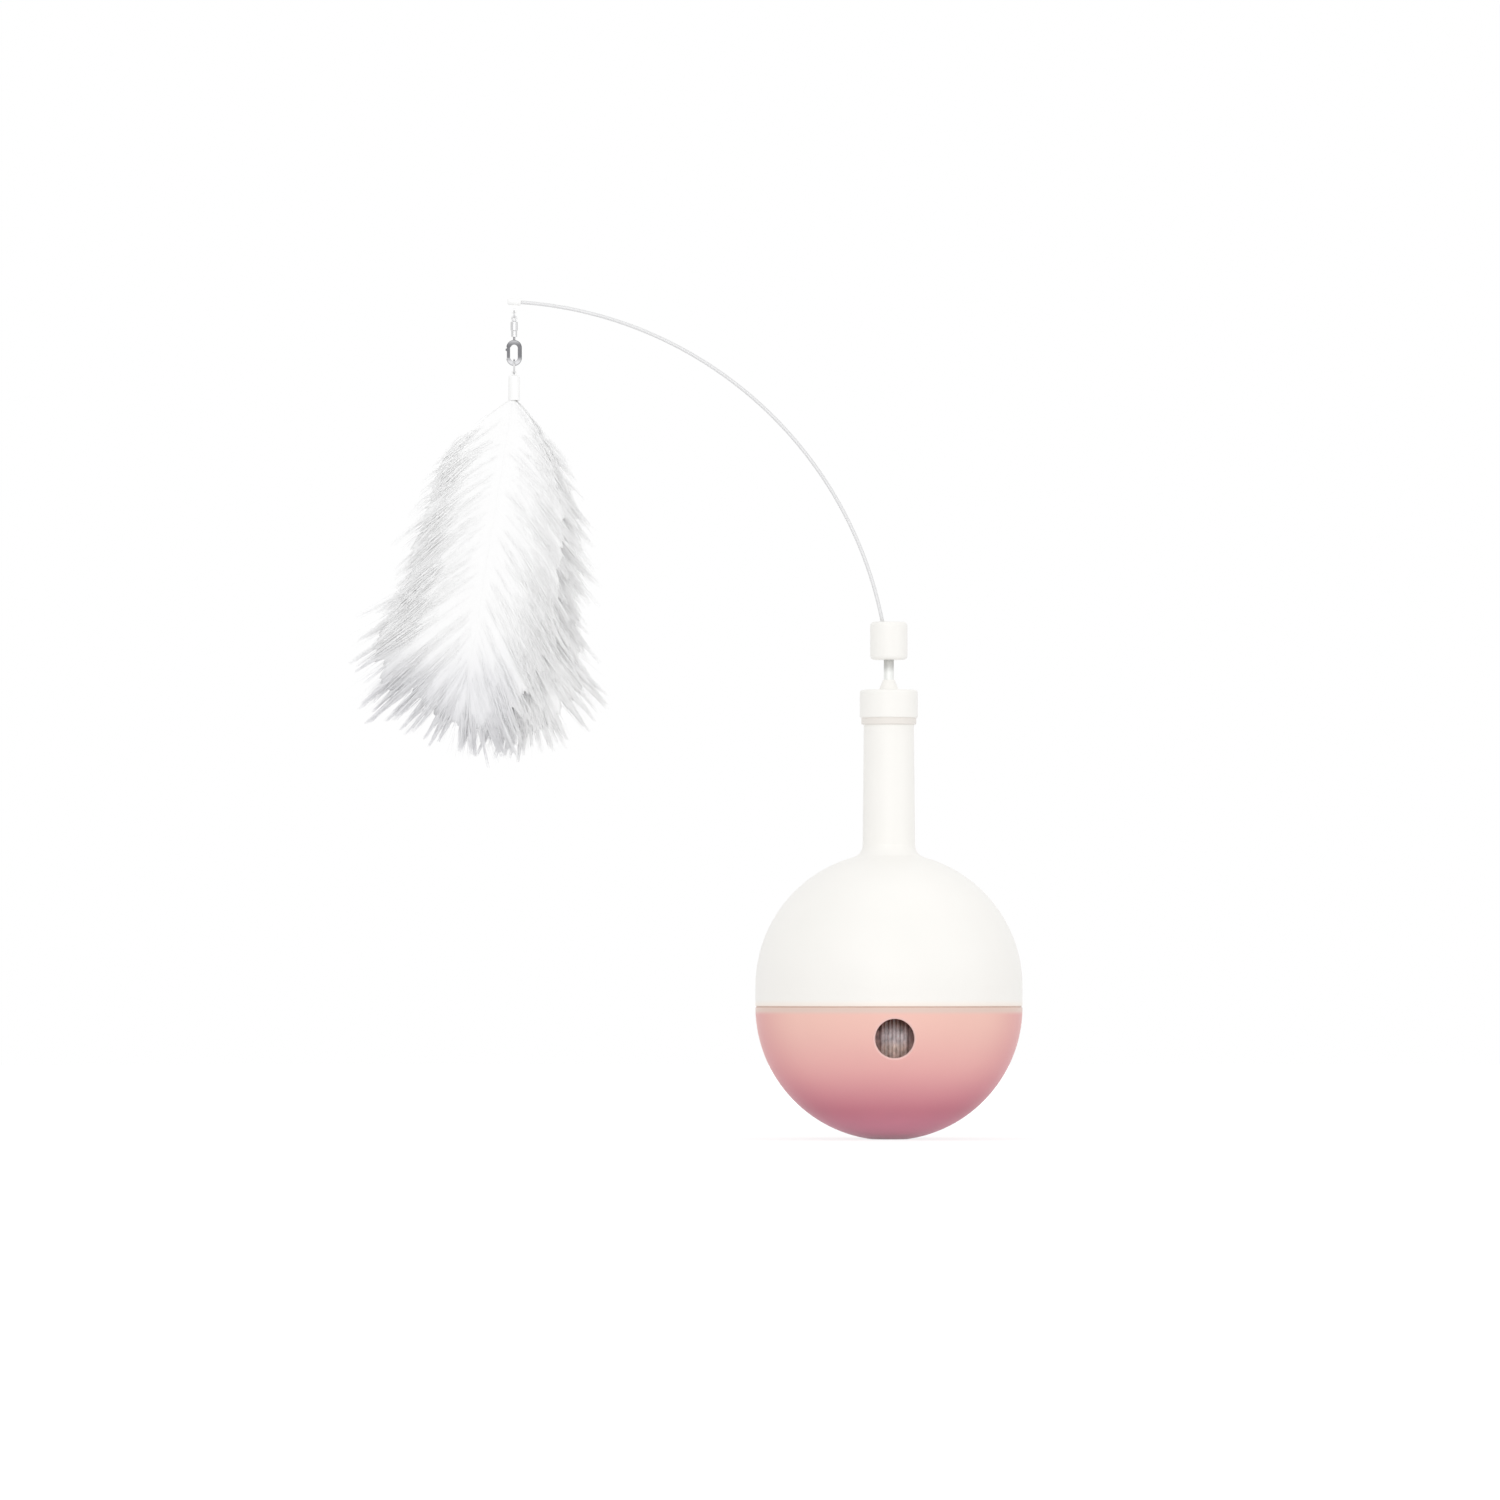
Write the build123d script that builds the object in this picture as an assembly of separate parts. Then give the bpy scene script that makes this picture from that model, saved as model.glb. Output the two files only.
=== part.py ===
from build123d import *
import math
import os

# The toy stands on the flat under its bowl, with the origin in that flat and +Z up.
# The treat outlet faces -Y and the wand arches over to -X.
# Lengths are in millimetres and angles in degrees.

# Ball: pink bowl below, white shell above
ball_r = 40.0            # outside of the bowl and the dome
foot_r = 5.5             # flat that the ball stands on
bowl_wall = 2.2
bowl_floor = 3.0         # thickness over the foot
rim_wall = 2.0           # bowl wall beside the shell's spigot
seam_chamfer = 0.35      # on both sides of the seam, which makes its dark line
seam_z = math.sqrt(ball_r**2 - foot_r**2)
bowl_in_r = ball_r - bowl_wall

# Treat outlet in the front of the bowl
outlet_r = 5.8
outlet_x = 1.2
outlet_drop = 9.3        # its axis under the seam
outlet_round = 0.5       # rounding of its outer edge
outlet_z = seam_z - outlet_drop

# Chamber floor, which closes off the weight
floor_step = 0.7         # from the floor's top up to the lowest point of the outlet
floor_t = 2.2
floor_gap = 0.2          # to the bowl's wall
crown_edge = 6.3         # from the screw heads in to the crown, a low cone that sends treats outwards
crown_h = 2.5
stem_r = 6.0             # stem that holds the weight down
floor_top = outlet_z - outlet_r - floor_step
floor_under = floor_top - floor_t

# Floor screws and their bosses
screw_turn_angles = (90, 210, 330)
screw_edge = 4.44        # from the floor's lower edge in to the screws
screw_r = 1.15
screw_len = 7.5
screw_fit = 0.06
head_r = 2.3
head_h = 1.3
recess_len = 2.6         # cross recess in the head
recess_w = 0.5
recess_deep = 0.7
boss_wall = 1.7
pilot_past = 0.6         # pilot hole below the screw's tip
boss_r = screw_r + screw_fit + boss_wall
floor_low_r = math.sqrt(bowl_in_r**2 - (seam_z - floor_under)**2) - floor_gap
screw_ring_r = floor_low_r - screw_edge
crown_r = screw_ring_r - head_r - crown_edge

# Weight
slug_r = 24.0
slug_h = 11.4
slug_side = 0.5          # to the screw bosses
slug_gap = 0.3           # to the bowl's wall
slug_top = bowl_floor + slug_h

# Ribbed baffle that stands behind the outlet
baffle_back = 11.6       # from the ball's outside
baffle_t = 1.5
baffle_h = 12.5
baffle_span_angle = 44
baffle_rib_r = 0.8
baffle_rib_pitch = 2.3
baffle_ribs = 5
peg_r = 0.9
peg_fit = 0.05
peg_turn_angles = (-14, 14)
front_turn_angle = -90         # turn of the outlet's side about the ball's axis
baffle_out_r = ball_r - baffle_back

# Spigot of the shell, its seal ring and the groove
spigot_depth = 3.2
spigot_gap = 0.35
spigot_end_gap = 0.4
spigot_web = 1.2         # left behind the groove
land_h = 2.4             # solid ring above the seam
seal_section_r = 0.75
seal_fit = 0.07
groove_gap = 0.08        # above and below the ring
rim_bore_r = ball_r - rim_wall
spigot_out_r = rim_bore_r - spigot_gap
seal_r = rim_bore_r - seal_fit - seal_section_r
groove_r = seal_r - seal_section_r - seal_fit
spigot_in_r = groove_r - spigot_web
seal_z = seam_z - spigot_depth / 2

# Shell
skirt_h = 6.2            # straight part between the seam and the dome
shell_wall = 2.0
neck_h = 38.2            # from the top of the dome's sphere to the flange
neck_base_r = 7.9
neck_top_r = 7.5
neck_sink = 2.0          # the neck's cone starts this far under the top of the sphere
neck_bore_r = 5.7
neck_round = 4.0         # flare between the dome and the neck
flange_r = 8.25
flange_h = 2.1
flange_round = 0.5
dome_z = seam_z + skirt_h
dome_top = dome_z + ball_r
flange_z = dome_top + neck_h
neck_end_z = flange_z + flange_h

# Neck cap
cap_r = 8.7
cap_h = 8.4
cap_round = 0.9
cap_under_round = 0.3
plug_len = 12.0
plug_fit = 0.08
nipple_base_r = 3.0
nipple_top_r = 1.75
nipple_h = 3.0
cap_top = neck_end_z + cap_h
nipple_top = cap_top + nipple_h
plug_end = neck_end_z - plug_len

# Pivot bush in the cap
bush_r = 2.8
bush_fit = 0.04
bush_cover = 1.6         # cap left above the bush
bush_flange_r = 4.2
bush_flange_h = 1.0
bush_top = cap_top - bush_cover
bush_end = plug_end - bush_flange_h

# Pin, washer and clip
pin_r = 1.5              # bare part above the nipple
pin_show = 6.0           # from the nipple to the wire holder
pin_seat = 3.6           # depth in the wire holder
journal_r = 1.15         # part that turns in the bush
journal_fit = 0.05
end_play = 0.12
washer_r = 2.6
washer_t = 0.5
clip_r = 2.5
clip_t = 0.6
clip_seat_r = 0.85       # bottom of the clip's groove
clip_fit = 0.03
clip_mouth = 1.5
pin_tail = 1.2
washer_z = bush_end - end_play - washer_t
clip_z = washer_z - clip_t
pin_end = clip_z - pin_tail

# Wire holder
holder_r = 5.6
holder_h = 11.4
holder_round = 1.2
press_gap = 0.02         # between glued or pressed pieces
holder_z = nipple_top + pin_show
holder_top = holder_z + holder_h

# Wand wire: a straight foot that leans, then one round arc
wire_r = 0.55
wire_gap = 0.04
wire_off = 1.9           # where it leaves the holder, left of the axis
wire_lean_angle = 12.4
wire_seat = 6.5          # straight length in the holder
wire_foot = 3.1          # straight length above the holder
wand_r = 118.6
wand_turn_angle = 73.7
sleeve_bore_len = 2.3

# Sleeve at the wire's end, with its lug
sleeve_r = 1.05
sleeve_len = 4.0
sleeve_round = 0.6
lug_t = 0.7
lug_r = 1.1
lug_hole_r = 0.65
lug_drop = 2.5           # hole under the sleeve's axis

# Ring that hangs in the lug
link_wire_r = 0.22
link_r = 1.05
link_drop = 0.22

# Swivel: wire eye with a headed stem, in a barrel
eye_wire_r = 0.22
eye_r = 0.7
eye_play = 0.08
stem_wire_r = 0.3
stem_gap = 0.05
stem_head_r = 0.6
stem_head_h = 0.5
barrel_gap = 0.03        # under the eye
barrel_r = 1.1
barrel_len = 4.6
barrel_waist_r = 0.9
barrel_body_len = 2.9    # wide upper part
barrel_wall = 0.6        # at both ends
barrel_round = 0.35
barrel_bore_r = 0.72

# Snap clasp on its shank
shank_r = 0.35
shank_show = 0.9
clasp_w = 4.6
clasp_h = 7.8
clasp_t = 1.2
clasp_side = 1.2
clasp_end = 1.4
clasp_round = 0.25
mouth_h = 3.5            # gap in its left side
gate_t = 0.5
gate_w = 0.95
gate_play = 0.1
gate_end_r = 0.5
gate_slot_t = 0.64
gate_rise = 0.45         # pivot above the mouth
gate_open_angle = 25           # how far it swings in
gate_pin_r = 0.2
gate_pin_fit = 0.03
thumb_r = 0.42
thumb_drop = 1.25

# Feather's ring and ferrule
hanger_wire_r = 0.25
hanger_drop = 0.9        # ring's centre under the middle of the clasp's lower bar
hanger_play = 0.06
tab_r = 0.95
tab_t = 0.9
tab_hole_r = 0.42
ferrule_r = 1.75
ferrule_len = 7.4
ferrule_rise = 0.6       # middle of the tab's hole above the ferrule's body
ferrule_bore_r = 1.45
ferrule_bore_deep = 5.6
ferrule_round = 0.5

# Two plumes, back to back, each a curled vane on a leaning shaft
quill_len = 82.0
quill_r = 0.45
quill_tip_r = 0.18
quill_root_len = 3.0
quill_off = 0.5         # from the feather's middle plane
plume_len = 108.0
plume_w = 60.0
curl_r = 60.0
vane_gap = 0.02          # to the shaft
front_lean_angle = 9
front_vane_t = 0.45
back_lean_angle = -3
back_vane_t = 0.75

# Outlines of the plumes, as shares of plume_w across the shaft and of plume_len down it
front_left_shares = [(-0.01, 0.02), (-0.11, 0.1), (-0.25, 0.18), (-0.33, 0.25), (-0.39, 0.39),
                     (-0.42, 0.57), (-0.47, 0.76), (-0.51, 0.9)]
front_tip_shares = [(-0.51, 0.9), (-0.38, 0.86), (-0.32, 0.94), (-0.24, 0.89), (-0.2, 0.98),
                    (-0.1, 0.91), (0.0, 1.0), (0.06, 0.9), (0.15, 0.99), (0.19, 0.9), (0.28, 0.97),
                    (0.33, 0.81)]
front_right_shares = [(0.33, 0.81), (0.31, 0.59), (0.23, 0.37), (0.13, 0.18), (0.02, 0.02)]
back_left_shares = [(-0.01, 0.02), (-0.09, 0.16), (-0.18, 0.38), (-0.24, 0.6), (-0.23, 0.8)]
back_tip_shares = [(-0.23, 0.8), (-0.17, 0.98), (-0.07, 0.88), (0.0, 0.98), (0.06, 0.88), (0.15, 0.96),
                   (0.17, 0.85), (0.28, 0.93), (0.25, 0.81), (0.4, 0.86)]
back_right_shares = [(0.4, 0.86), (0.3, 0.78), (0.28, 0.66), (0.31, 0.52), (0.31, 0.37), (0.24, 0.22),
                     (0.13, 0.09), (0.02, 0.02)]

# Cuts run past the faces they leave by this much
over = 1.0


def post(radius, low, high):
    """Upright cylinder on the ball's axis between two heights."""
    return Pos(0, 0, (low + high) / 2) * Cylinder(radius, high - low)


def taper(low_r, high_r, low, high):
    """Upright cone on the ball's axis between two heights."""
    return Pos(0, 0, (low + high) / 2) * Cone(low_r, high_r, high - low)


def cross_rod(radius, length, x, z):
    """Cylinder along Y, centred on the plane y = 0."""
    return Pos(x, 0, z) * Rot(90, 0, 0) * Cylinder(radius, length)


def slab(width, depth, height, x, z):
    """Block centred on the plane y = 0."""
    return Pos(x, 0, z) * Box(width, depth, height)


def around(turn, radius):
    """Place on a circle about the ball's axis."""
    return Rot(0, 0, turn) * Pos(radius, 0, 0)


def lower_bowl():
    ball = Pos(0, 0, seam_z) * Sphere(ball_r)
    hollow = Pos(0, 0, seam_z) * Sphere(bowl_in_r)
    body = ball & post(ball_r + over, 0, seam_z)
    body -= hollow & post(ball_r, bowl_floor, seam_z + over)
    mid_wall = Pos(0, 0, seam_z) * Sphere(ball_r - bowl_wall / 2)
    pilot = post(screw_r + screw_fit, floor_top - screw_len - pilot_past, floor_under + over)
    for turn in screw_turn_angles:
        body += around(turn, screw_ring_r) * post(boss_r, 0, floor_under) & mid_wall
        body -= around(turn, screw_ring_r) * pilot
    body -= post(rim_bore_r, seam_z - spigot_depth - spigot_end_gap, seam_z + over)
    body = chamfer(body.edges().filter_by(GeomType.CIRCLE).group_by(Axis.Z)[-1].sort_by(SortBy.LENGTH)[-1],
                   seam_chamfer)
    body -= Pos(outlet_x, -ball_r / 2, outlet_z) * Rot(90, 0, 0) * Cylinder(outlet_r, ball_r)
    rim = body.edges().filter_by(lambda e: abs(e.bounding_box().size.X - 2 * outlet_r) < outlet_round)
    return fillet(rim.sort_by(Axis.Y)[0], outlet_round)


def weight_slug():
    well = Pos(0, 0, seam_z) * Sphere(bowl_in_r - slug_gap)
    body = post(slug_r, bowl_floor, slug_top) & well
    boss_room = post(boss_r + slug_side, bowl_floor, slug_top)
    for turn in screw_turn_angles:
        body -= around(turn, screw_ring_r) * boss_room
    return body


def chamber_floor():
    floor_high_r = math.sqrt(bowl_in_r**2 - (seam_z - floor_top)**2) - floor_gap
    body = taper(floor_low_r, floor_high_r, floor_under, floor_top)
    body += taper(crown_r, stem_r / 2, floor_top, floor_top + crown_h)
    body += post(stem_r, slug_top, floor_under)
    bore = post(screw_r + screw_fit, floor_under - over, floor_top)
    sink = taper(screw_r + screw_fit, head_r + screw_fit, floor_top - head_h, floor_top)
    for turn in screw_turn_angles:
        body -= around(turn, screw_ring_r) * (bore + sink)
    peg_hole = post(peg_r + peg_fit, floor_under, floor_top)
    for turn in peg_turn_angles:
        body -= around(front_turn_angle + turn, baffle_out_r - baffle_t / 2) * peg_hole
    return body


def floor_screws():
    shank = post(screw_r, floor_top - screw_len, floor_top - head_h)
    head = taper(screw_r, head_r, floor_top - head_h, floor_top)
    slot = Pos(0, 0, floor_top) * Box(recess_len, recess_w, 2 * recess_deep)
    screw = shank + head - slot - Rot(0, 0, 90) * slot
    return Compound([around(turn, screw_ring_r) * screw for turn in screw_turn_angles])


def treat_baffle():
    high = floor_top + baffle_h
    ring = post(baffle_out_r, floor_top, high) - post(baffle_out_r - baffle_t, floor_top, high)
    half_w = baffle_out_r * math.tan(math.radians(baffle_span_angle / 2))
    wedge = Polyline((0, 0), (half_w, -baffle_out_r), (half_w, -ball_r), (-half_w, -ball_r),
                     (-half_w, -baffle_out_r), close=True)
    body = ring & Pos(0, 0, floor_top) * extrude(make_face(wedge), baffle_h)
    rib = post(baffle_rib_r, floor_top, high)
    for i in range(baffle_ribs):
        place = (i - (baffle_ribs - 1) / 2) * baffle_rib_pitch
        body += around(front_turn_angle + math.degrees(place / baffle_out_r), baffle_out_r) * rib
    peg = post(peg_r, floor_under, floor_top + baffle_t)
    for turn in peg_turn_angles:
        body += around(front_turn_angle + turn, baffle_out_r - baffle_t / 2) * peg
    return body


def seal_ring():
    return Pos(0, 0, seal_z) * Torus(seal_r, seal_section_r)


def upper_shell():
    upper_half = post(ball_r + over, dome_z, dome_top + over)
    body = (Pos(0, 0, dome_z) * Sphere(ball_r)) & upper_half
    neck_low = dome_top - neck_sink
    body += taper(neck_base_r, neck_top_r, neck_low, neck_end_z)
    flare = body.edges().filter_by(GeomType.CIRCLE).group_by(Axis.Z)[-2]
    body = fillet(flare, neck_round)
    body += post(ball_r, seam_z, dome_z)
    flange = post(flange_r, flange_z, neck_end_z)
    body += fillet(flange.edges().group_by(Axis.Z)[0], flange_round)
    body -= (Pos(0, 0, dome_z) * Sphere(ball_r - shell_wall)) & upper_half
    body -= post(ball_r - shell_wall, seam_z + land_h, dome_z)
    body -= post(neck_bore_r, dome_z, neck_end_z + over)
    body = chamfer(body.edges().group_by(Axis.Z)[0], seam_chamfer)
    spigot_end = seam_z - spigot_depth
    body -= post(spigot_in_r, spigot_end, seam_z + land_h)
    groove_half = seal_section_r + groove_gap
    spigot = post(spigot_out_r, spigot_end, seam_z) - post(spigot_in_r, spigot_end, seam_z)
    groove = post(spigot_out_r + over, seal_z - groove_half, seal_z + groove_half)
    spigot -= groove - post(groove_r, seal_z - groove_half, seal_z + groove_half)
    return body + spigot


def neck_cap():
    body = post(cap_r, neck_end_z, cap_top)
    body = fillet(body.edges().group_by(Axis.Z)[-1], cap_round)
    body = fillet(body.edges().group_by(Axis.Z)[0], cap_under_round)
    body += taper(nipple_base_r, nipple_top_r, cap_top, nipple_top)
    body += post(neck_bore_r - plug_fit, plug_end, neck_end_z)
    body -= post(bush_r + bush_fit, plug_end, bush_top)
    return body - post(journal_r + journal_fit, plug_end, nipple_top)


def pivot_bush():
    body = post(bush_r, plug_end, bush_top) + post(bush_flange_r, bush_end, plug_end)
    return body - post(journal_r + journal_fit, bush_end, bush_top)


def pivot_pin():
    body = post(pin_r, nipple_top, holder_z + pin_seat) + post(journal_r, pin_end, nipple_top)
    return body - (post(journal_r + over, clip_z, washer_z) - post(clip_seat_r, clip_z, washer_z))


def thrust_washer():
    bore = post(journal_r + journal_fit, washer_z, washer_z + washer_t)
    return post(washer_r, washer_z, washer_z + washer_t) - bore


def retaining_clip():
    body = post(clip_r, clip_z, washer_z) - post(clip_seat_r + clip_fit, clip_z, washer_z)
    return body - Pos(clip_r / 2, 0, (clip_z + washer_z) / 2) * Box(clip_r, clip_mouth, clip_t)


def wire_holder():
    body = post(holder_r, holder_z, holder_top)
    body = fillet(body.edges().filter_by(GeomType.CIRCLE), holder_round)
    body -= post(pin_r + press_gap, holder_z, holder_z + pin_seat)
    deep = Plane(origin=wire_start(), z_dir=wire_along(wire_lean_angle))
    bore_len = wire_seat + wire_foot
    return body - deep * Pos(0, 0, bore_len / 2) * Cylinder(wire_r + wire_gap, bore_len)


def wire_along(lean):
    """Direction in the wand's plane, leaning to -X from upright."""
    return Vector(-math.sin(math.radians(lean)), 0, math.cos(math.radians(lean)))


def wire_start():
    """Foot of the wire, inside its holder."""
    return Vector(-wire_off, 0, holder_top) - wire_along(wire_lean_angle) * wire_seat


def wire_across(lean):
    """Direction square to the leaning wire, towards the inside of its arc."""
    return Vector(-math.cos(math.radians(lean)), 0, -math.sin(math.radians(lean)))


def arc_point(turn):
    """Point on the wand's arc, an angle past its start."""
    arc_start = wire_start() + wire_along(wire_lean_angle) * (wire_seat + wire_foot)
    centre = arc_start + wire_across(wire_lean_angle) * wand_r
    return centre - wire_across(wire_lean_angle + turn) * wand_r


def wand_end():
    """Where the arc ends and the sleeve begins."""
    return arc_point(wand_turn_angle)


sleeve_axis = wire_along(wire_lean_angle + wand_turn_angle)
sleeve_mid = wand_end() + sleeve_axis * (sleeve_len / 2)

# Places down the wand's tip, all on one plumb line
tip_x = sleeve_mid.X
lug_z = sleeve_mid.Z - lug_drop
link_z = lug_z - link_drop - link_r
eye_z = link_z - link_r + link_wire_r + eye_wire_r + eye_play - eye_r
barrel_top = eye_z - eye_r - eye_wire_r - barrel_gap
barrel_end = barrel_top - barrel_len
clasp_top = barrel_end - shank_show
clasp_mid = clasp_top - clasp_h / 2
clasp_end_z = clasp_top - clasp_h
bar_z = clasp_end_z + clasp_end / 2
gate_z = clasp_mid + mouth_h / 2 + gate_rise
gate_x = tip_x - clasp_w / 2 + clasp_side / 2
hanger_in_r = hanger_drop + math.hypot(clasp_t / 2, clasp_end / 2) + hanger_play
hanger_r = hanger_in_r + hanger_wire_r
hanger_z = bar_z - hanger_drop
tab_z = hanger_z - hanger_r
ferrule_top = tab_z - ferrule_rise
ferrule_end = ferrule_top - ferrule_len


def wand_wire():
    start = wire_start()
    arc_start = start + wire_along(wire_lean_angle) * (wire_seat + wire_foot)
    foot = Line(start, arc_start)
    arc = ThreePointArc(arc_start, arc_point(wand_turn_angle / 2), wand_end())
    tail = Line(wand_end(), wand_end() + sleeve_axis * sleeve_bore_len)
    section = Plane(origin=start, z_dir=wire_along(wire_lean_angle)) * Circle(wire_r)
    return sweep(section, Wire([foot.edge(), arc.edge(), tail.edge()]))


def end_sleeve():
    along = Plane(origin=wand_end(), z_dir=sleeve_axis)
    tube = Pos(0, 0, sleeve_len / 2) * Cylinder(sleeve_r, sleeve_len)
    tube = fillet(tube.edges().group_by(Axis.Z)[-1], sleeve_round)
    body = along * tube
    body += slab(2 * lug_r, lug_t, lug_drop, tip_x, lug_z + lug_drop / 2)
    body += cross_rod(lug_r, lug_t, tip_x, lug_z)
    body -= cross_rod(lug_hole_r, lug_t + over, tip_x, lug_z)
    return body - along * Pos(0, 0, sleeve_bore_len / 2) * Cylinder(wire_r + wire_gap, sleeve_bore_len)


def link_ring():
    return Pos(tip_x, 0, link_z) * Rot(0, 90, 0) * Torus(link_r, link_wire_r)


def swivel_eye():
    body = Pos(tip_x, 0, eye_z) * Rot(90, 0, 0) * Torus(eye_r, eye_wire_r)
    head_top = barrel_top - barrel_wall
    head_low = head_top - stem_head_h
    stem = post(stem_wire_r, head_low, eye_z - eye_r) + post(stem_head_r, head_low, head_top)
    return body + Pos(tip_x, 0, 0) * stem


def swivel_barrel():
    waist = barrel_top - barrel_body_len
    body = fillet(post(barrel_r, waist, barrel_top).edges().filter_by(GeomType.CIRCLE), barrel_round)
    body += post(barrel_waist_r, barrel_end, waist + barrel_round)
    body -= post(barrel_bore_r, barrel_end + barrel_wall, barrel_top - barrel_wall)
    body -= post(stem_wire_r + stem_gap, barrel_top - barrel_wall, barrel_top)
    body -= post(shank_r + stem_gap, barrel_end, barrel_end + barrel_wall)
    return Pos(tip_x, 0, 0) * body


def clasp_frame():
    body = upright_slot(clasp_w, clasp_h, clasp_t)
    body = fillet(body.edges().filter_by(lambda e: e.center().Y != 0), clasp_round)
    body -= upright_slot(clasp_w - 2 * clasp_side, clasp_h - 2 * clasp_end, clasp_t + over)
    mouth_w = clasp_side + gate_play + over
    body -= slab(mouth_w, clasp_t + over, mouth_h, gate_x + (gate_play - over) / 2, clasp_mid)
    body -= cross_rod(gate_end_r + gate_play, gate_slot_t, gate_x, gate_z)
    room = slab(2 * (gate_end_r + gate_play), gate_slot_t, gate_rise + over, 0, -(gate_rise + over) / 2)
    for turn in (0, -gate_open_angle):
        body -= Pos(gate_x, 0, gate_z) * Rot(0, turn, 0) * room
    body -= cross_rod(gate_pin_r, clasp_t + over, gate_x, gate_z)
    head_low = barrel_end + barrel_wall
    shank = post(shank_r, clasp_top - clasp_end / 2, head_low)
    shank += post(stem_head_r, head_low, head_low + stem_head_h)
    return body + Pos(tip_x, 0, 0) * shank


def upright_slot(width, height, thickness):
    """Plate with round ends, standing in the wand's plane at the clasp's middle."""
    plate = extrude(SlotOverall(height, width, rotation=90), thickness / 2, both=True)
    return Pos(tip_x, 0, clasp_mid) * Rot(90, 0, 0) * plate


def gate_pin():
    return cross_rod(gate_pin_r, clasp_t, gate_x, gate_z)


def clasp_gate():
    low = clasp_mid - mouth_h / 2 + gate_play
    body = slab(gate_w, gate_t, gate_z - low, gate_x, (gate_z + low) / 2)
    body += cross_rod(gate_end_r, gate_t, gate_x, gate_z)
    body += cross_rod(thumb_r, gate_t, gate_x - gate_w / 2, gate_z - thumb_drop)
    return body - cross_rod(gate_pin_r + gate_pin_fit, gate_t + over, gate_x, gate_z)


def feather_ring():
    return Pos(tip_x, 0, hanger_z) * Rot(0, 90, 0) * Torus(hanger_r, hanger_wire_r)


def feather_ferrule():
    tube = fillet(post(ferrule_r, ferrule_end, ferrule_top).edges().group_by(Axis.Z)[-1], ferrule_round)
    body = Pos(tip_x, 0, 0) * (tube - post(ferrule_bore_r, ferrule_end, ferrule_end + ferrule_bore_deep))
    tab_foot = ferrule_rise + ferrule_round
    body += slab(2 * tab_r, tab_t, tab_foot, tip_x, tab_z - tab_foot / 2)
    body += cross_rod(tab_r, tab_t, tip_x, tab_z)
    return body - cross_rod(tab_hole_r, tab_t + over, tip_x, tab_z)


def feather_place(lean, side):
    """Frame of one plume: its root in the ferrule, its shaft down -Z, turned sideways by the lean."""
    return Pos(tip_x, side * quill_off, ferrule_end + quill_root_len) * Rot(0, lean, 0)


def quill(radius_more):
    """Shaft of a plume, from its root down -Z."""
    return Pos(0, 0, -quill_len / 2) * Cone(quill_tip_r + radius_more, quill_r + radius_more, quill_len)


def plume(left_shares, tip_shares, right_shares, thickness, side):
    """Curled vane with a ragged lower edge, cut free of its shaft."""
    def place(share):
        return (share[0] * plume_w, -quill_root_len - share[1] * plume_len)
    left = Spline([place(s) for s in left_shares])
    tips = Polyline([place(s) for s in tip_shares])
    right = Spline([place(s) for s in right_shares])
    top = Line(right @ 1, left @ 0)
    face = make_face([left, tips, right, top])
    blank = Rot(90, 0, 0) * extrude(face, plume_w / 2, both=True)
    axis_y = side * (curl_r - thickness / 2)
    sheet = Cylinder(curl_r, 3 * plume_len) - Cylinder(curl_r - thickness, 3 * plume_len)
    near_half = Pos(0, axis_y - side * curl_r, 0) * Box(2 * plume_w, curl_r, 3 * plume_len)
    vane = blank & Pos(0, axis_y, 0) * sheet & near_half
    return vane - quill(vane_gap)


pieces = {
    "lower_bowl": lower_bowl(),
    "weight_slug": weight_slug(),
    "chamber_floor": chamber_floor(),
    "floor_screws": floor_screws(),
    "treat_baffle": treat_baffle(),
    "seal_ring": seal_ring(),
    "upper_shell": upper_shell(),
    "neck_cap": neck_cap(),
    "pivot_bush": pivot_bush(),
    "pivot_pin": pivot_pin(),
    "thrust_washer": thrust_washer(),
    "retaining_clip": retaining_clip(),
    "wire_holder": wire_holder(),
    "wand_wire": wand_wire(),
    "end_sleeve": end_sleeve(),
    "link_ring": link_ring(),
    "swivel_eye": swivel_eye(),
    "swivel_barrel": swivel_barrel(),
    "clasp_frame": clasp_frame(),
    "gate_pin": gate_pin(),
    "clasp_gate": clasp_gate(),
    "feather_ring": feather_ring(),
    "feather_ferrule": feather_ferrule(),
    "front_quill": feather_place(front_lean_angle, -1) * quill(0),
    "front_plume": feather_place(front_lean_angle, -1) * plume(
        front_left_shares, front_tip_shares, front_right_shares, front_vane_t, -1),
    "back_quill": feather_place(back_lean_angle, 1) * quill(0),
    "back_plume": feather_place(back_lean_angle, 1) * plume(
        back_left_shares, back_tip_shares, back_right_shares, back_vane_t, 1),
}

os.makedirs("parts", exist_ok=True)
for name, shape in pieces.items():
    export_step(shape, "parts/" + name + ".step")
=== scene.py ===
"""Cat treat dispenser toy: finishes, wand wire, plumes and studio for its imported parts."""
import math

import bmesh
import bpy
import numpy as np
from bpy.props import FloatProperty, FloatVectorProperty, IntProperty, PointerProperty
from bpy.types import Operator, Panel, PropertyGroup
from mathutils import Matrix, Vector


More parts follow.
